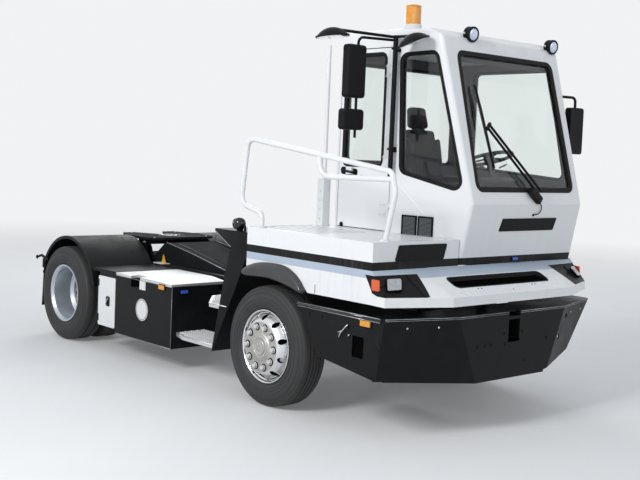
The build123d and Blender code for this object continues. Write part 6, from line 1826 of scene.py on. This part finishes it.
class TRACTOR_OT_seat(bpy.types.Operator):
    """Padded driver's seat with side bolsters, headrest, piping and an armrest"""
    bl_idname = "tractor.seat"
    bl_label = "Seat"

    def execute(self, context):
        cushion = Piece("cushion_shape")
        soft_block(cushion, (0.130, 0.185, 1.652), (0.580, 0.615, 1.742), "cloth", 0.034)
        soft_block(cushion, (0.140, 0.168, 1.656), (0.570, 0.232, 1.756), "cloth", 0.026)
        soft_block(cushion, (0.140, 0.568, 1.656), (0.570, 0.632, 1.756), "cloth", 0.026)
        made = settle("seat_pad", inflated("seat_pad", cushion, 0.006, 0.024), "chassis", ("seat_cushion",))
        lean = Matrix.Translation((0.160, 0.400, 1.765)) @ Matrix.Rotation(math.radians(-11), 4, "Y")
        back = Piece("back_shape")
        soft_block(back, (-0.030, -0.205, 0.000), (0.062, 0.205, 0.560), "cloth", 0.036, 0.86)
        soft_block(back, (-0.020, -0.222, 0.020), (0.086, -0.158, 0.470), "cloth", 0.026)
        soft_block(back, (-0.020, 0.158, 0.020), (0.086, 0.222, 0.470), "cloth", 0.026)
        soft_block(back, (-0.028, -0.120, 0.575), (0.052, 0.120, 0.765), "cloth", 0.034, 0.84)
        soft_block(back, (-0.010, -0.070, 0.545), (0.030, 0.070, 0.600), "cloth", 0.012)
        back.bm.transform(lean)
        made = settle("seat_back_pad", inflated("seat_back_pad", back, 0.006, 0.022), "chassis", ("seat_back",))
        trim = Piece("seat_trim")
        trim.block((0.145, 0.215, 1.6402), (0.565, 0.585, 1.650), "trim", 0.004)
        trim.block((0.10, 0.640, 1.860), (0.40, 0.690, 1.910), "trim", 0.018)
        trim.tube([(0.12, 0.655, 1.880), (0.12, 0.600, 1.880)], 0.012, "trim", 8)
        trim.block((0.13, 0.150, 1.40), (0.53, 0.199, 1.46), "trim", 0.010)
        for z in (1.47, 1.51, 1.55, 1.59):
            loop = [(0.122, 0.192, z), (0.538, 0.192, z), (0.538, 0.608, z), (0.122, 0.608, z)]
            trim.tube([Vector(p) for p in loop], 0.012, "rubber", 8, closed=True)
        trim.done()
        return {"FINISHED"}


class TRACTOR_OT_controls(bpy.types.Operator):
    """Dials, hood, stalks, pedals and side console round the steering wheel"""
    bl_idname = "tractor.controls"
    bl_label = "Controls"

    def execute(self, context):
        parts = Piece("driver_controls")
        hood = facing((0.965, 0.400, 1.842), (0, -1, 0), (0.42, 0, 0.91))
        parts.block((-0.21, -0.05, -0.05), (0.21, 0.085, 0.030), "trim", 0.018, hood)
        for dx, radius in ((-0.125, 0.042), (0.0, 0.052), (0.125, 0.042)):
            dial = hood @ Matrix.Translation((dx, 0.018, 0.0302))
            parts.turned([(radius, 0.0), (radius + 0.005, 0.0), (radius + 0.005, 0.005), (radius, 0.005)], "bright", dial, closed=True)
            parts.drum(radius, 0.0, 0.0016, "seal", dial, 28, 0.0004)
            parts.block((-0.001, 0.0, 0.0016), (0.001, radius * 0.75, 0.0026), "blank", 0.0002, dial)
        for y, reach in ((0.30, -0.12), (0.50, 0.12)):
            parts.tube([(0.925, y, 2.005), (0.900, y + reach, 2.035)], 0.007, "trim", 8)
        parts.block((0.30, 0.74, 1.287), (0.95, 1.10, 1.720), "trim", 0.030)
        parts.tube([(0.60, 0.86, 1.72), (0.60, 0.86, 1.84)], 0.009, "bright", 8)
        parts.turned([(0.0, 0.0), (0.020, 0.004), (0.026, 0.020), (0.020, 0.036), (0.0, 0.040)], "plastic", along_axis((0.60, 0.86, 1.835), (0, 0, 1)), 20)
        for i in range(6):
            parts.block((0.42 + 0.05 * i, 0.98, 1.7202), (0.455 + 0.05 * i, 1.03, 1.730), "plastic", 0.003)
        for y in (0.27, 0.50):
            parts.block((0.840, y - 0.035, 1.31), (0.865, y + 0.035, 1.42), "rubber", 0.006, Matrix.Identity(4))
        parts.done()
        return {"FINISHED"}


class TRACTOR_PT_sidebar(bpy.types.Panel):
    bl_label = "Terminal tractor"
    bl_space_type = "VIEW_3D"
    bl_region_type = "UI"
    bl_category = "Tractor"

    def draw(self, context):
        for group in (context.scene.tractor_colours, context.scene.tractor_sizes):
            for name in group.__annotations__:
                self.layout.prop(group, name)
        for operator in OPERATORS:
            self.layout.operator(operator.bl_idname)


OPERATORS = (STAGE_OT_studio, TRACTOR_OT_surfaces, TRACTOR_OT_tyres, TRACTOR_OT_wheel_fittings, TRACTOR_OT_window_seals,
             TRACTOR_OT_front_rims,
             TRACTOR_OT_cab_lining, TRACTOR_OT_door_fittings, TRACTOR_OT_cab_plates, TRACTOR_OT_wiper_arm,
             TRACTOR_OT_roof_fittings, TRACTOR_OT_mirror_glasses,
             TRACTOR_OT_front_lamps, TRACTOR_OT_nose_trim, TRACTOR_OT_bumper_trim, TRACTOR_OT_front_guards,
             TRACTOR_OT_deck_patterns, TRACTOR_OT_tank_fittings, TRACTOR_OT_platform_fittings, TRACTOR_OT_rear_fittings,
             TRACTOR_OT_coupling_fittings, TRACTOR_OT_frame_bolts, TRACTOR_OT_seat, TRACTOR_OT_controls)
CLASSES = (TractorColours, TractorSizes, *OPERATORS, TRACTOR_PT_sidebar)


def register():
    for cls in CLASSES:
        bpy.utils.register_class(cls)
    bpy.types.Scene.tractor_colours = PointerProperty(type=TractorColours)
    bpy.types.Scene.tractor_sizes = PointerProperty(type=TractorSizes)


def unregister():
    del bpy.types.Scene.tractor_sizes
    del bpy.types.Scene.tractor_colours
    for cls in reversed(CLASSES):
        bpy.utils.unregister_class(cls)


def main():
    register()
    for operator in OPERATORS:
        group, name = operator.bl_idname.split(".")
        getattr(getattr(bpy.ops, group), name)()


if __name__ == "__main__":
    main()
